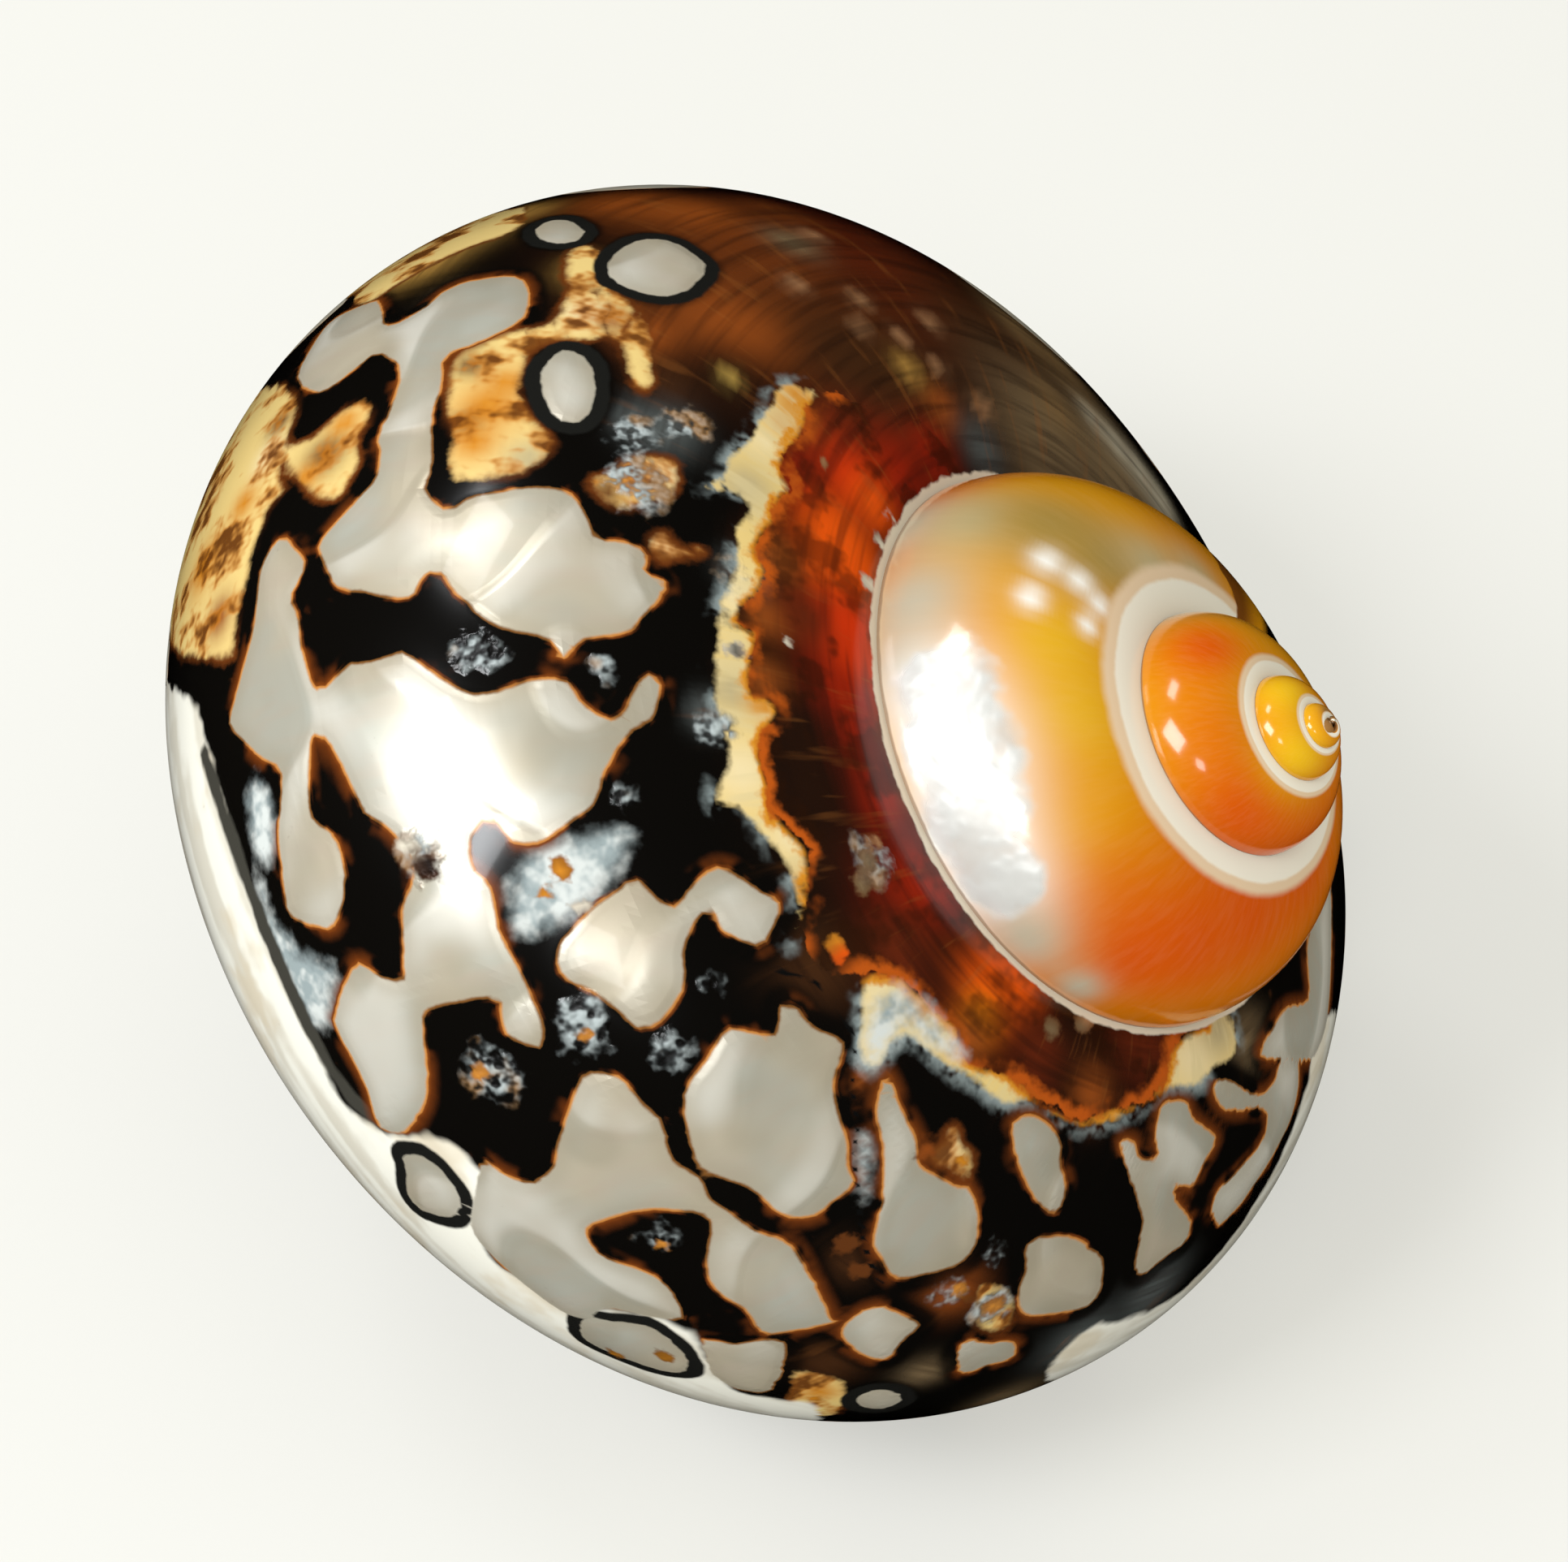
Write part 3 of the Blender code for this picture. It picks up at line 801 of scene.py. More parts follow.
def camera_axes():
    """The camera's right, up and back directions."""
    pitch = np.array((
        (1, 0, 0),
        (0, math.cos(CAMERA_PITCH), -math.sin(CAMERA_PITCH)),
        (0, math.sin(CAMERA_PITCH), math.cos(CAMERA_PITCH)),
    ))
    turns = []
    for angle in (CAMERA_TURN, CAMERA_ROLL):
        turns.append(np.array((
            (math.cos(angle), -math.sin(angle), 0),
            (math.sin(angle), math.cos(angle), 0),
            (0, 0, 1),
        )))
    return turns[0] @ pitch @ turns[1]


def sight_lines(pixels):
    """The direction in which each point of the photograph is seen."""
    pixels = np.asarray(pixels, float)
    scale = SENSOR / LENS / PHOTO_SIZE[0]
    across = (pixels[:, 0] - PHOTO_SIZE[0] / 2) * scale
    down = (pixels[:, 1] - PHOTO_SIZE[1] / 2) * scale
    rays = np.stack((across, -down, -np.ones(len(pixels))), -1) @ camera_axes().T
    return rays / np.linalg.norm(rays, axis=1)[:, None]


def seen_at(points):
    """The point of the photograph at which each point of the shell lies."""
    local = (points - np.array(CAMERA_PLACE)) @ camera_axes()
    scale = PHOTO_SIZE[0] * LENS / SENSOR
    across = PHOTO_SIZE[0] / 2 - local[:, 0] / local[:, 2] * scale
    down = PHOTO_SIZE[1] / 2 + local[:, 1] / local[:, 2] * scale
    return np.stack((across, down), -1)


def on_shell(tree, pixels):
    """Where the sight lines meet the shell, in millimetres; the ones that miss are left out."""
    place = Vector(CAMERA_PLACE)
    found = []
    for ray in sight_lines(pixels):
        hit = tree.ray_cast(place, Vector(ray))
        if hit[0] is not None:
            found.append(hit[0])
    return np.array(found)


def rounded(outline, closeness=4.0):
    """A closed smooth curve through the outline's points, sampled about every closeness pixels."""
    knots = np.asarray(outline, float)
    before, here = np.roll(knots, 1, axis=0), knots
    after, beyond = np.roll(knots, -1, axis=0), np.roll(knots, -2, axis=0)
    curve = []
    for a, b, c, d in zip(before, here, after, beyond):
        steps = max(2, int(np.linalg.norm(c - b) / closeness))
        for t in np.linspace(0, 1, steps, endpoint=False):
            pull = (c - a) * t + (2 * a - 5 * b + 4 * c - d) * t * t + (3 * b - a - 3 * c + d) * t ** 3
            curve.append(b + 0.5 * pull)
    return np.array(curve)


def within(outline, at):
    """Whether each point lies inside the closed outline."""
    inside = np.zeros(len(at), bool)
    x, y = at[:, 0], at[:, 1]
    for (x0, y0), (x1, y1) in zip(outline, np.roll(outline, -1, axis=0)):
        if y0 == y1:
            continue
        crosses = ((y0 > y) != (y1 > y)) & (x < (x1 - x0) * (y - y0) / (y1 - y0) + x0)
        inside ^= crosses
    return inside


def distance_to(places, points):
    """Each point's distance to the nearest of the places."""
    finder = KDTree(len(places))
    for i, place in enumerate(places):
        finder.insert(place, i)
    finder.balance()
    return np.array([finder.find(point)[2] for point in points])


def patch_field(outlines, tree, points, pixels, faces_camera):
    """The distance to the outlines in millimetres, positive inside them."""
    inside = np.zeros(len(points), bool)
    edge = []
    for outline in outlines:
        curve = rounded(outline)
        low, high = curve.min(axis=0), curve.max(axis=0)
        near = faces_camera & (pixels > low).all(axis=1) & (pixels < high).all(axis=1)
        index = np.nonzero(near)[0]
        inside[index] |= within(curve, pixels[index])
        edge.append(on_shell(tree, curve))
    far = distance_to(np.concatenate(edge), points)
    return np.where(inside, far, -far)


def waves(points, seed, longest, shortest, count=40):
    """A smooth random field over space, about -1 to 1, made of plane waves."""
    draw = np.random.default_rng(seed)
    total = np.zeros(len(points))
    for _ in range(count):
        direction = draw.normal(size=3)
        direction /= np.linalg.norm(direction)
        length = draw.uniform(shortest, longest)
        total += np.cos(points @ direction * 2 * math.pi / length + draw.uniform(0, 2 * math.pi))
    return total / math.sqrt(count)


def smooth_step(value, low, high):
    share = np.clip((value - low) / (high - low), 0, 1)
    return share * share * (3 - 2 * share)


def spots(tree, points, colour, list_of_spots):
    """Lays soft spots of colour over the colours that are there, and tells how far they cover them."""
    bare = np.ones(len(points))
    for x, y, radius, tone in list_of_spots:
        hit = on_shell(tree, [(x, y)])[0]
        share = np.exp(-((np.linalg.norm(points - hit, axis=1) / radius) ** 2))[:, None]
        colour = colour * (1 - share) + np.array(tone) * share
        bare *= 1 - share[:, 0]
    return colour, 1 - bare


def spot_distances(tree, points, list_of_spots):
    """Each spot's radius, with every point's distance to its middle."""
    found = []
    for x, y, radius in list_of_spots:
        hit = on_shell(tree, [(x, y)])[0]
        found.append((radius, np.linalg.norm(points - hit, axis=1)))
    return found


def spire_colour(tree, points):
    """Base colours of the early turns: orange and gold, with what the photograph shows on them."""
    warm = smooth_step(waves(points, *WARM_ZONES), -0.8, 0.8)[:, None]
    base = np.array(ORANGE) * warm + np.array(GOLD) * (1 - warm)
    return spots(tree, points, base, SPIRE_SPOTS)[0]


def line_field(line, tree, points):
    """The distance to a line on the shell, in millimetres."""
    knots = np.array(line, float)
    reach = np.concatenate(((0,), np.cumsum(np.linalg.norm(np.diff(knots, axis=0), axis=1))))
    at = np.linspace(0, reach[-1], int(reach[-1] / 2))
    pixels = np.stack([np.interp(at, reach, knots[:, i]) for i in (0, 1)], -1)
    return distance_to(on_shell(tree, pixels), points)


def add_attribute(mesh, name, values):
    attribute = mesh.attributes.new(name, "FLOAT", "POINT")
    attribute.data.foreach_set("value", np.asarray(values, np.float32))


def add_colour(mesh, name, values):
    attribute = mesh.attributes.new(name, "FLOAT_COLOR", "POINT")
    rgba = np.concatenate((values, np.ones((len(values), 1))), axis=1)
    attribute.data.foreach_set("color", rgba.astype(np.float32).ravel())


def gathered_tubes():
    """The shell's tubes in one sheet, and how many of its points belong to the last turn."""
    sheet = Sheet()
    body_tube(sheet)
    body_count = sheet.count
    spire_tubes(sheet)
    lathe(sheet, PILLAR_ROWS, PILLAR_SIDES, columella_row, 1.0)
    lathe(sheet, BEAD_ROWS, BEAD_SIDES, bead_row, 0.0)
    return sheet, body_count


def shell_mesh(sheet, points):
    mesh = bpy.data.meshes.new("turban_shell")
    mesh.from_pydata((points * MM).tolist(), [], sheet.faces)
    mesh.polygons.foreach_set("use_smooth", [True] * len(mesh.polygons))
    mesh.update()
    mesh.normals_split_custom_set_from_vertices(np.concatenate(sheet.normals).tolist())
    return mesh


def facing_camera(mesh, points):
    """The cosine between the surface's normal and the line of sight, at each point."""
    normals = np.empty(len(points) * 3)
    mesh.vertices.foreach_get("normal", normals)
    sight = np.array(CAMERA_PLACE) - points
    sight /= np.linalg.norm(sight, axis=1)[:, None]
    return (normals.reshape(-1, 3) * sight).sum(axis=1)


def build_shell():
    """The shell's mesh, with the fields that its material reads."""
    sheet, body_count = gathered_tubes()
    points = to_rest(np.concatenate(sheet.points)) * FACET_TRIM
    points[:, 2] = np.maximum(points[:, 2], 0.0)
    mesh = shell_mesh(sheet, points)
    turn = np.concatenate(sheet.turns)
    angle = np.concatenate(sheet.angles)
    inside = np.concatenate(sheet.insides)
    tree = BVHTree.FromPolygons(points.tolist(), sheet.faces)
    facing = facing_camera(mesh, points)
    pixels = seen_at(points)
    on_body = np.arange(len(points)) < body_count
    outside = on_body & (inside == 0)
    seen = outside & (facing > 0.0)
    near_rim = outside & (facing > RIM_BEHIND)

    def patches(outlines, where):
        return patch_field(outlines, tree, points, pixels, where)

    def over(tone, list_of_spots):
        return spots(tree, points, np.tile(np.array(tone), (len(points), 1)), list_of_spots)

    # Patches that the photograph shows. Behind the outline the rims' zones give way, and the far
    # side has patches of its own.
    ringed = patches(RINGED_OUTLINES.values(), seen)
    pearl = np.maximum(patches(PEARL_OUTLINES.values(), seen), ringed)
    wild = waves(points, *FAR_PATCHES) * PATCH_HEIGHT + waves(points, *FAR_EDGES) * EDGE_HEIGHT + MORE_PEARL
    behind = RIM_FADE * facing + RIM_REACH + wild * RIM_RAGGED
    sway = waves(points, *SWAY) * RIM_SWAY * smooth_step(-facing, *SWAY_FROM)
    # The pale zone along the outline is a painted reflection of the table.
    limb_reflection = patches(LIMB_OUTLINES.values(), near_rim) + sway
    limb_reflection = np.where(facing < 0, np.minimum(limb_reflection, behind), limb_reflection)
    cream = patches(CREAM_OUTLINES.values(), near_rim) + sway
    cream = np.where(facing < 0, np.minimum(cream, behind), cream)
    shown = smooth_step(facing, *SHOWN_FACING) * on_body
    wild = wild - shown * SHOWN_DEPTH - smooth_step(np.maximum(limb_reflection, cream), *ZONE_EDGE) * ZONE_DEPTH
    pearl = np.where(outside, np.maximum(pearl, wild), pearl)

    pits = np.max([radius - far for radius, far in spot_distances(tree, points, PITS)], axis=0)
    silver_spots = spot_distances(tree, points, SILVER_SPOTS)
    silver = np.max([np.exp(-((far / radius) ** 2)) for radius, far in silver_spots], axis=0)

    early = np.where(on_body, 1 - smooth_step(turn, *SPIRE_FADE), 1.0)
    early *= smooth_step(angle, *SPIRE_LOWEST) * (inside == 0)
    cover, warm = over(BLACK, COVER_SPOTS)
    tint = np.where(early[:, None] > 0.02, spire_colour(tree, points), cover)
    fleck_tone, fleck = over(BARK, FLECKS)

    fields = {
        "pearl": pearl, "ringed": ringed, "cream": cream, "limb_reflection": limb_reflection, "pits": pits, "silver": silver,
        "rim": patches(RIM_OUTLINES.values(), seen), "frost": patches(FROST_OUTLINES.values(), seen),
        "band": patches([BAND_OUTLINE], seen), "crack": line_field(CRACK, tree, points),
        "dark_rim": line_field(DARK_RIM, tree, points), "turn": turn, "angle": angle, "inside": inside,
        "spire": early, "warm": warm, "fleck": fleck,
    }
    for name, values in fields.items():
        add_attribute(mesh, name, values)
    add_colour(mesh, "tint", tint)
    add_colour(mesh, "ochre", over(CREAM, CREAM_SPOTS)[0])
    add_colour(mesh, "fleck_tone", fleck_tone)
    shell = bpy.data.objects.new("turban_shell", mesh)
    bpy.context.scene.collection.objects.link(shell)
    return shell


class Value:
    """A socket of the material. Arithmetic on it adds Math nodes."""

    def __init__(self, tree, socket):
        self.tree = tree
        self.socket = socket

    def math(self, operation, *others):
        return node(self.tree, "ShaderNodeMath", {"operation": operation}, (self, *others))

    def __add__(self, other):
        return self.math("ADD", other)

    __radd__ = __add__

    def __sub__(self, other):
        return self.math("SUBTRACT", other)

    def __rsub__(self, other):
        return self * -1 + other

    def __mul__(self, other):
        return self.math("MULTIPLY", other)

    __rmul__ = __mul__

    def step(self, low, high):
        """0 below low and 1 above high, smooth between them."""
        settings = {"interpolation_type": "SMOOTHSTEP"}
        return node(self.tree, "ShaderNodeMapRange", settings, (self, low, high, 0.0, 1.0))


def node(tree, kind, settings, values, output=0):
    """Adds a node: its settings first, then each socket's value or link."""
    made = tree.nodes.new(kind)
    for name, setting in settings.items():
        setattr(made, name, setting)
    pairs = values.items() if isinstance(values, dict) else enumerate(values)
    for key, value in pairs:
        if isinstance(value, Value):
            tree.links.new(value.socket, made.inputs[key])
        else:
            made.inputs[key].default_value = value
    return Value(tree, made.outputs[output])


class Finish:
    """Short names for the nodes that one material uses."""

    def __init__(self, name):
        self.material = bpy.data.materials.new(name)
        self.material.use_nodes = True
        self.tree = self.material.node_tree
        self.surface = self.tree.nodes["Principled BSDF"]

    def read(self, name):
        return node(self.tree, "ShaderNodeAttribute", {"attribute_name": name}, (), "Fac")

    def read_colour(self, name):
        return node(self.tree, "ShaderNodeAttribute", {"attribute_name": name}, (), "Color")

    def noise(self, where, scale, detail=3.0, roughness=0.5):
        values = {"Vector": where, "Scale": scale, "Detail": detail, "Roughness": roughness}
        return node(self.tree, "ShaderNodeTexNoise", {}, values, "Fac")

    def mix(self, share, first, second):
        """Two colours, by share."""
        pair = [colour if isinstance(colour, Value) else (*colour, 1) for colour in (first, second)]
        values = {0: share, 6: pair[0], 7: pair[1]}
        return node(self.tree, "ShaderNodeMix", {"data_type": "RGBA"}, values, 2)

    def feed(self, name, value):
        self.tree.links.new(value.socket, self.surface.inputs[name])


class ShellFinish(Finish):
    """The shell's material, with the noises that its layers share."""

    def __init__(self):
        super().__init__("polished_shell")
        self.place = node(self.tree, "ShaderNodeTexCoord", {}, (), "Object")
        self.turn = self.read("turn")
        self.angle = self.read("angle")
        self.inside = self.read("inside")
        self.grain = self.along_coil(26, 4, self.inside, 2.0, 0.6)
        self.swirl = self.along_coil(2, 24, self.inside, 2.0, 0.6)
        self.ragged = self.noise(self.place, RAGGED, 2.0, 0.6) - 0.5
        self.wavy = self.noise(self.place, WAVY, 2.0, 0.55) - 0.5
        self.cloud = self.noise(self.place, CLOUD, 2.0, 0.5)
        self.speck = self.noise(self.place, SPECK, 1.0, 0.6)
        self.mottle = self.noise(self.place, MOTTLE, 3.0, 0.6)
        leaves = (self.noise(self.place, LEAVES, 1.0) * 6.0).math("FRACT")
        self.fold = leaves.step(0.0, 0.85) * (1 - leaves.step(0.82, 1.0))

    def along_coil(self, turns, angles, side, detail, roughness=0.5):
        """Noise drawn out along the turns or round the section."""
        where = (self.turn * turns, self.angle * angles, side)
        return self.noise(node(self.tree, "ShaderNodeCombineXYZ", {}, where), 1.0, detail, roughness)


def nacre_tone(f):
    """Mother-of-pearl: soft clouds, growth lines, and folds with a painted highlight on their crests and
    painted shade in their troughs.
    """
    tone = f.mix(f.cloud.step(0.35, 0.65), NACRE_WARM, NACRE_COOL)
    tone = f.mix(f.grain.step(0.4, 0.7) * 0.35, tone, NACRE_PINK)
    tone = f.mix(f.noise(f.place, NACRE_CLOUD, 1.0).step(0.5, 0.7) * 0.4, tone, NACRE_SHADE)
    folded = f.cloud.step(0.3, 0.6)
    # Painted highlight along the folds' crests, then painted shade in their troughs.
    tone = f.mix(f.fold.step(0.35, 1.0) * folded * 0.7, tone, NACRE_PAINTED_HIGHLIGHT)
    tone = f.mix((1 - f.fold.step(0.0, 0.35)) * folded * 0.3, tone, NACRE_FOLD_SHADE)
    return f.mix((1 - f.read("pearl").step(0.1, 1.3)) * 0.35, tone, NACRE_EDGE)


def cover_layer(f, band_side, rim):
    """The dark layer: black, brown where it is thin, and red in the band under the suture."""
    warm = f.read("warm")
    near_pearl = f.read("pearl").step(-1.3, -0.6) * (1 - f.read("band").step(-0.2, 0.2))
    tone = f.mix(near_pearl * (1 - warm * 0.5), f.read_colour("tint"), BLACK)
    tone = f.mix(f.swirl.step(0.42, 0.7) * warm * 0.55, tone, COVER_STREAK)
    tone = f.mix(f.grain.step(0.55, 0.72) * warm * 0.22, tone, COVER_GRAIN)
    tone = f.mix(f.mottle.step(0.48, 0.62) * band_side.step(-0.05, 0.1) * 0.6, tone, BAND_MOTTLE)
    glow = band_side.step(-0.25, -0.05) * (1 - band_side.step(0.1, 0.8)) * rim.step(-1.6, -0.4)
    return f.mix(glow * f.mottle.step(0.35, 0.55), tone, BAND_EDGE)


def add_rims(f, colour, band_side, rim):
    """The band's cream rims, amber and red towards the band and steel-grey towards the black."""
    steel = rim.step(-0.9, 0.1) * (1 - band_side.step(-0.9, -0.3)) * (f.cloud + f.wavy).step(0.42, 0.58)
    colour = f.mix(steel * (f.speck + f.wavy).step(0.25, 0.6), colour, STEEL)
    tone = f.mix(f.grain.step(0.45, 0.65) * 0.6, f.read_colour("ochre"), RIM_STREAK)
    mottled_side = band_side + (f.mottle - 0.5) * 2
    tone = f.mix(mottled_side.step(-0.75, -0.25), tone, RIM_AMBER)
    tone = f.mix(mottled_side.step(-0.30, 0.1), tone, RIM_RED)
    return f.mix(rim.step(-0.15, 0.3) * (1 - band_side.step(0.0, 0.2)), colour, tone)


def add_cream(f, colour):
    """The cream and ochre zones, blotched with brown."""
    cream = f.read("cream") + f.wavy * 0.9 + f.ragged * 0.5
    blotch = f.mottle * 0.7 + f.grain * 0.3
    tone = f.mix(blotch.step(0.47, 0.56) * 0.8, f.read_colour("ochre"), CREAM_BLOTCH)
    tone = f.mix(blotch.step(0.52, 0.60) * 0.9, tone, CREAM_BARK)
    tone = f.mix((1 - cream.step(0.1, 0.6)) * 0.4, tone, CREAM_EDGE)
    colour = f.mix(cream.step(-0.5, 0.0) * f.cloud.step(0.4, 0.6), colour, CREAM_HALO)
    return f.mix(cream.step(-0.1, 0.35), colour, tone)


def add_frost(f, colour):
    """Soft bluish-white zones."""
    frost = f.read("frost") + f.wavy * 2.2 + f.ragged * 0.8
    tone = f.mix((f.speck * 0.5 + f.wavy * 1.2).step(0.1, 0.4), FROST_DARK, FROST_PALE)
    return f.mix(frost.step(-0.6, 0.9), colour, tone)


def paint_limb_reflection(f, colour, limb_reflection):
    """A painted reflection of the pale table along the outline, streaked along the turns, and its dark
    line.
    """
    broad = f.along_coil(1.6, 9, 0.0, 1.0)
    tone = f.mix((broad + f.wavy * 0.3).step(0.42, 0.62) * 0.7, LIMB_PAINTED_REFLECTION, LIMB_STREAK)
    tone = f.mix((f.cloud + f.wavy * 0.5).step(0.52, 0.68) * 0.4, tone, LIMB_TAN)
    colour = f.mix(limb_reflection.step(-0.3, 0.4), colour, tone)
    dark_rim = f.read("dark_rim") + f.wavy * 0.8
    return f.mix(1 - dark_rim.step(0.35, 0.75), colour, LIMB_LINE)


def add_pearl(f, colour, limb_reflection, nacre):
    """The ground patches with their burnt fringe, and the share of bare pearl."""
    ringed = f.read("ringed") + f.wavy * 0.5
    colour = f.mix(ringed.step(-0.85, -0.6), colour, RING_LINE)
    pearl = f.read("pearl") + f.wavy * 0.25 + f.ragged * 0.14
    free = (1 - limb_reflection.step(-0.3, 0.1)) * (1 - ringed.step(-1.0, -0.8))
    burnt = (f.cloud + f.wavy * 1.2).step(0.42, 0.58)
    glow = pearl.step(-0.9, 0.0) * (f.cloud + f.wavy * 0.8).step(0.52, 0.64) * free
    colour = f.mix(glow * 0.8, colour, PEARL_GLOW)
    colour = f.mix(pearl.step(-0.26, -0.10) * free * burnt, colour, PEARL_BURNT)
    colour = f.mix(pearl.step(-0.11, 0.0) * free * (0.35 + burnt * 0.65), colour, PEARL_FRINGE)
    bare = pearl.step(0.0, 0.2)
    return f.mix(bare, colour, nacre), bare


def add_marks(f, colour):
    """Rough pits, small flecks and the growth crack, and the share of rough surface."""
    pits = f.read("pits") + f.wavy * 4.0 + f.ragged * 0.8
    rough = pits.step(0.0, 1.0)
    tone = f.mix(f.speck.step(0.35, 0.7), PIT_DARK, PIT_PALE)
    tone = f.mix((f.cloud + f.wavy).step(0.54, 0.70) * 0.7, tone, PIT_OCHRE)
    colour = f.mix(rough * (f.speck + f.wavy * 0.6).step(0.32, 0.60), colour, tone)
    fleck = (f.read("fleck") + f.wavy * 1.2 + f.ragged * 0.8).step(0.34, 0.72)
    colour = f.mix(fleck, colour, f.read_colour("fleck_tone"))
    crack = f.read("crack") + f.wavy * 0.3
    return f.mix(1 - crack.step(0.08, 0.22), colour, CRACK_LINE), rough


def add_spire(f, colour):
    """The suture's white edge and the orange whorls, with a painted sheen on their silver nacre and painted
    shade in the suture's crease, and the shares of orange, silver and painted sheen.
    """
    edge = f.angle + f.wavy * 0.03 + f.ragged * 0.012
    colour = f.mix(edge.step(*CALLUS_AT), colour, CALLUS)
    spire = (f.read("spire") * 2 + (f.cloud - 0.5) * 1.6 + f.wavy * 0.8).step(0.92, 1.08)
    tone = f.mix(f.grain.step(0.35, 0.75) * 0.04, f.read_colour("tint"), SPIRE_GRAIN)
    silver = (f.read("silver") + f.wavy * 0.5).step(0.36, 0.62)
    # The silver nacre whitened further: a painted sheen.
    sheen = silver * ((f.cloud + f.wavy * 1.5).step(0.35, 0.6) * 0.5 + 0.5)
    tone = f.mix(sheen, tone, PAINTED_SHEEN)
    tone = f.mix(edge.step(*BLUSH_AT), tone, SUTURE_BLUSH)
    tone = f.mix(edge.step(*WHITE_AT), tone, SUTURE_WHITE)
    # Painted shade in the suture's crease.
    crease_shade = 1 - (f.angle + f.wavy * 0.03).step(*CREASE_SHADE_AT)
    tone = f.mix(crease_shade * 0.7, tone, CREASE_SHADE)
    colour = f.mix(f.read("spire").step(0.0, 0.4) * 0.9, colour, SPIRE_END)
    return f.mix(spire, colour, tone), spire, silver, sheen


def shell_finish():
    """Mother-of-pearl under a glossy dark layer, ground through in patches."""
    f = ShellFinish()
    band_side = f.read("band") + f.wavy * 1.6 + f.ragged * 1.0
    rim = f.read("rim") + f.wavy * 0.7 + f.ragged * 0.5
    limb_reflection = f.read("limb_reflection") + f.wavy * 1.6
    nacre = nacre_tone(f)
    colour = cover_layer(f, band_side, rim)
    colour = add_rims(f, colour, band_side, rim)
    colour = add_cream(f, colour)
    colour = add_frost(f, colour)
    colour = paint_limb_reflection(f, colour, limb_reflection)
    colour, bare = add_pearl(f, colour, limb_reflection, nacre)
    colour, rough = add_marks(f, colour)
    colour, spire, silver, sheen = add_spire(f, colour)
    f.feed("Base Color", f.mix(f.inside, colour, nacre))

    shine = bare * (1 - spire) + silver * spire
    f.feed("Metallic", shine * PEARL_METAL)
    f.feed("Roughness", rough * PIT_ROUGHNESS + shine * PEARL_ROUGHNESS + PLAIN_ROUGHNESS)
    pearl = f.read("pearl")
    relief = f.noise(f.place, RELIEF, 1.0) * 3.0 + rough * f.speck * 2.0 + pearl.step(-0.3, 2.0) * 0.7
    relief = relief + pearl.step(-0.1, 0.6) * f.fold * 0.6 + sheen * f.wavy * 2.0
    values = {"Strength": BUMP_STRENGTH, "Distance": BUMP_HEIGHT, "Height": relief}
    f.feed("Normal", node(f.tree, "ShaderNodeBump", {}, values))
    f.surface.inputs["Coat Weight"].default_value = COAT
    f.surface.inputs["Coat Roughness"].default_value = COAT_ROUGHNESS
    f.surface.inputs["IOR"].default_value = SHELL_IOR
    return f.material


def floor_finish():
    """A plain pale tabletop with a faint unevenness."""
    f = Finish("pale_table")
    place = node(f.tree, "ShaderNodeTexCoord", {}, (), "Object")
    f.feed("Base Color", f.mix(f.noise(place, TABLE_CLOUD), *TABLE_TONES))
    f.surface.inputs["Roughness"].default_value = TABLE_ROUGHNESS
    f.surface.inputs["Specular IOR Level"].default_value = 0.0
    f.surface.inputs["Emission Color"].default_value = TABLE_GLOW_COLOUR
    f.surface.inputs["Emission Strength"].default_value = TABLE_GLOW
    return f.material


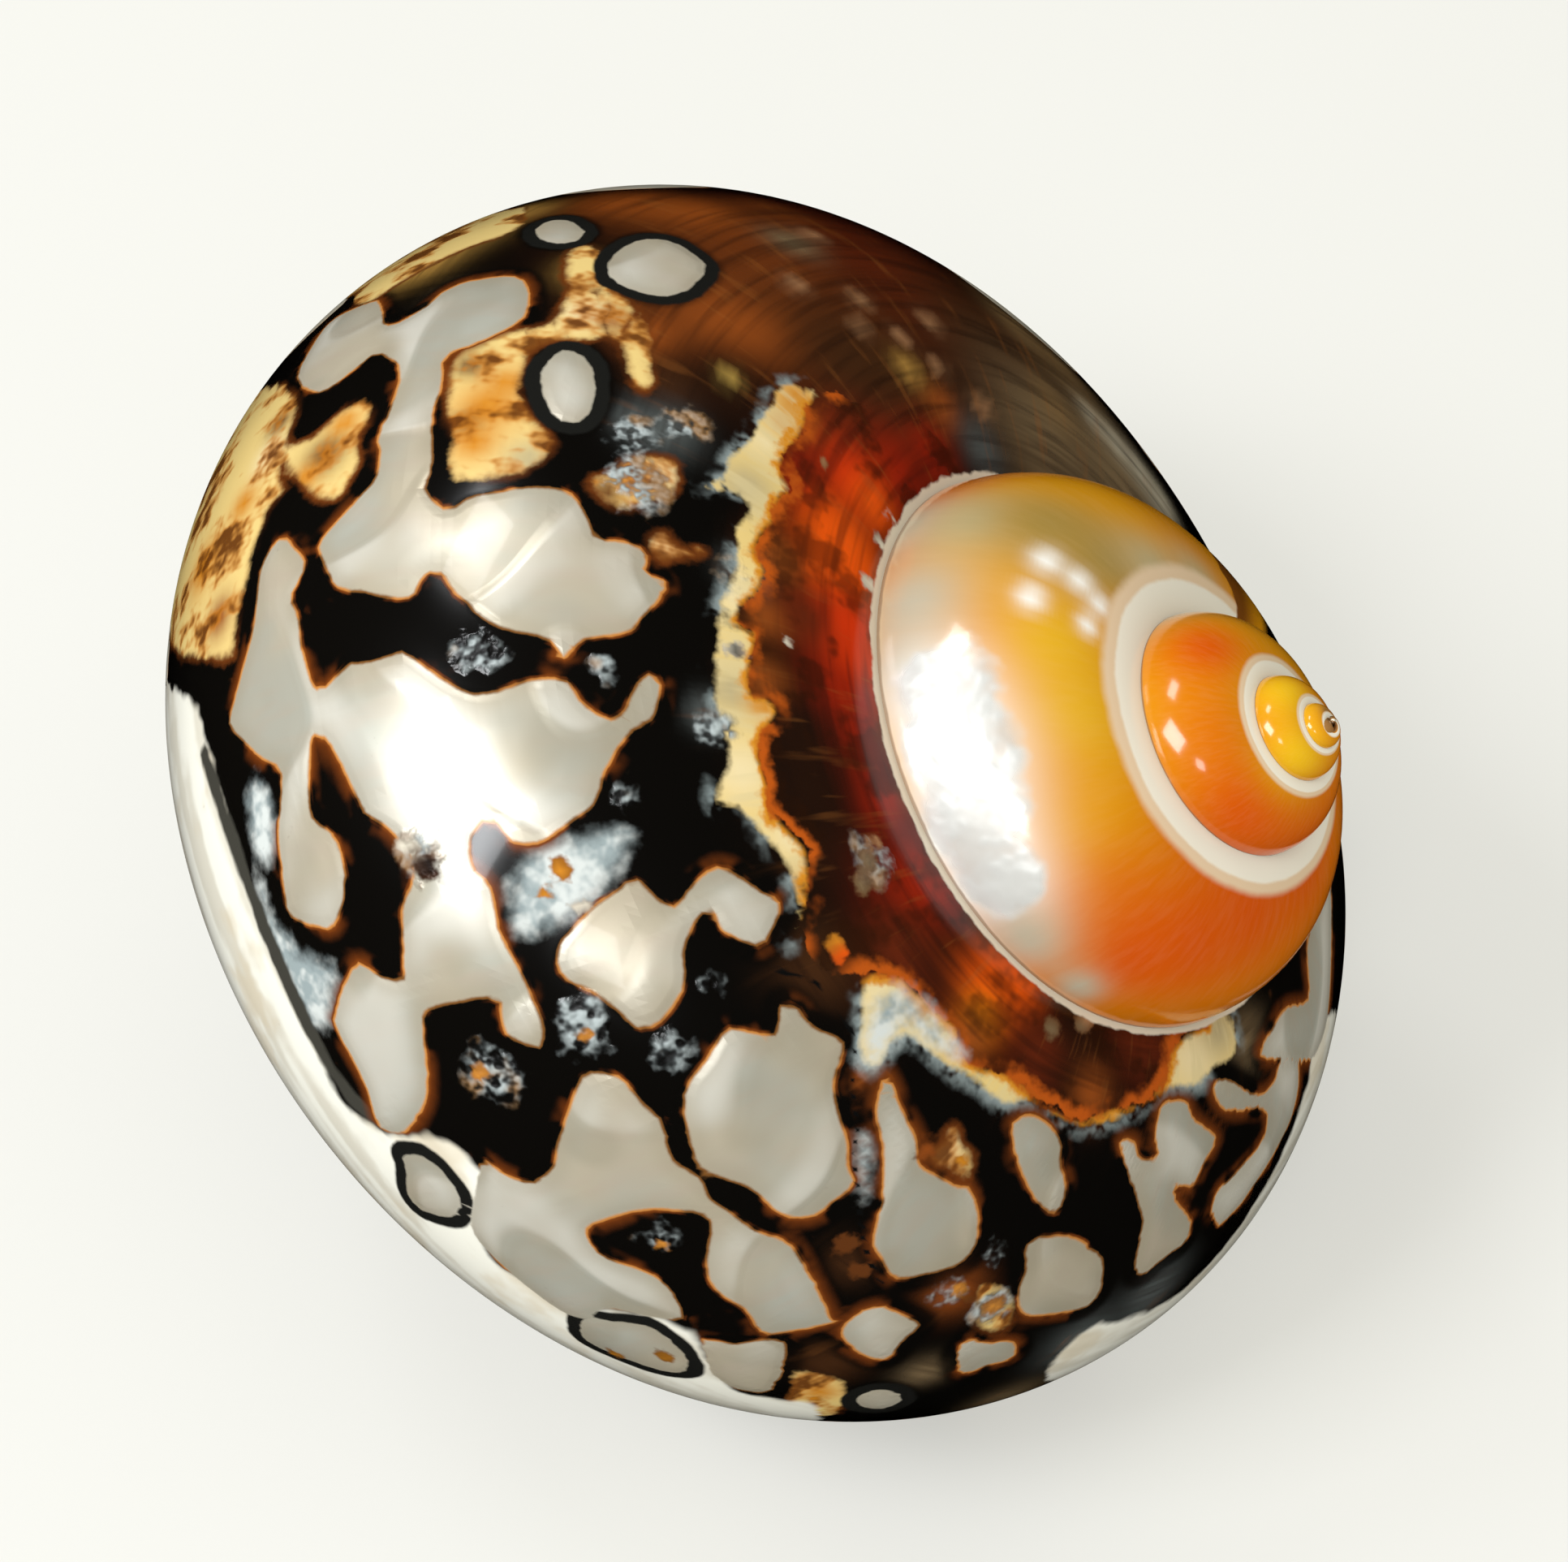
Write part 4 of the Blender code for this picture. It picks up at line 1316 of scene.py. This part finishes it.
def build_floor():
    """A wide table whose far side sweeps up into a backdrop."""
    profile = [(TABLE_FRONT, TABLE_LEVEL), (TABLE_BACK, TABLE_LEVEL)]
    for step in range(1, BEND_STEPS + 1):
        lean = math.pi / 2 * step / BEND_STEPS
        profile.append((TABLE_BACK + BEND * math.sin(lean), BEND - BEND * math.cos(lean)))
    profile.append((TABLE_BACK + BEND, BACKDROP_TOP))
    points = []
    for y, z in profile:
        points += [(-TABLE_HALF, y, z), (TABLE_HALF, y, z)]
    faces = [(2 * i, 2 * i + 1, 2 * i + 3, 2 * i + 2) for i in range(len(profile) - 1)]
    mesh = bpy.data.meshes.new("floor")
    mesh.from_pydata(points, [], faces)
    mesh.polygons.foreach_set("use_smooth", [True] * len(faces))
    mesh.materials.append(floor_finish())
    floor = bpy.data.objects.new("floor", mesh)
    floor.visible_glossy = False
    bpy.context.scene.collection.objects.link(floor)
    return floor


def add_light(name, place, size, power):
    """A rectangular lamp at place, in metres, turned towards the shell."""
    lamp = bpy.data.lights.new(name, "AREA")
    lamp.shape = "RECTANGLE"
    lamp.size, lamp.size_y = size
    lamp.energy = power
    lamp.color = LAMP_COLOUR
    holder = bpy.data.objects.new(name, lamp)
    holder.location = place
    holder.rotation_euler = (Vector(LAMP_AIM) - Vector(place)).to_track_quat("-Z", "Y").to_euler()
    bpy.context.scene.collection.objects.link(holder)


def add_camera():
    lens = bpy.data.cameras.new("camera")
    lens.lens = LENS
    lens.sensor_width = SENSOR
    lens.sensor_fit = "HORIZONTAL"
    lens.clip_start = 0.01
    holder = bpy.data.objects.new("camera", lens)
    axes = camera_axes()
    rows = [(*axes[i], CAMERA_PLACE[i] * MM) for i in range(3)] + [(0, 0, 0, 1)]
    holder.matrix_world = Matrix(rows)
    bpy.context.scene.collection.objects.link(holder)
    bpy.context.scene.camera = holder


def add_world():
    """An even soft room, which lights the shell but isn't mirrored in it."""
    world = bpy.data.worlds.new("soft_room")
    world.use_nodes = True
    background = world.node_tree.nodes["Background"]
    background.inputs["Color"].default_value = ROOM_COLOUR
    background.inputs["Strength"].default_value = ROOM_STRENGTH
    world.cycles_visibility.glossy = False
    bpy.context.scene.world = world
    bpy.context.scene.view_settings.view_transform = "Standard"


shell = build_shell()
shell.data.materials.append(shell_finish())
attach(shell, "root")
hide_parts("shell")
build_floor()
add_camera()
add_world()
for name, place, size, power in LAMPS:
    add_light(name, place, size, power)
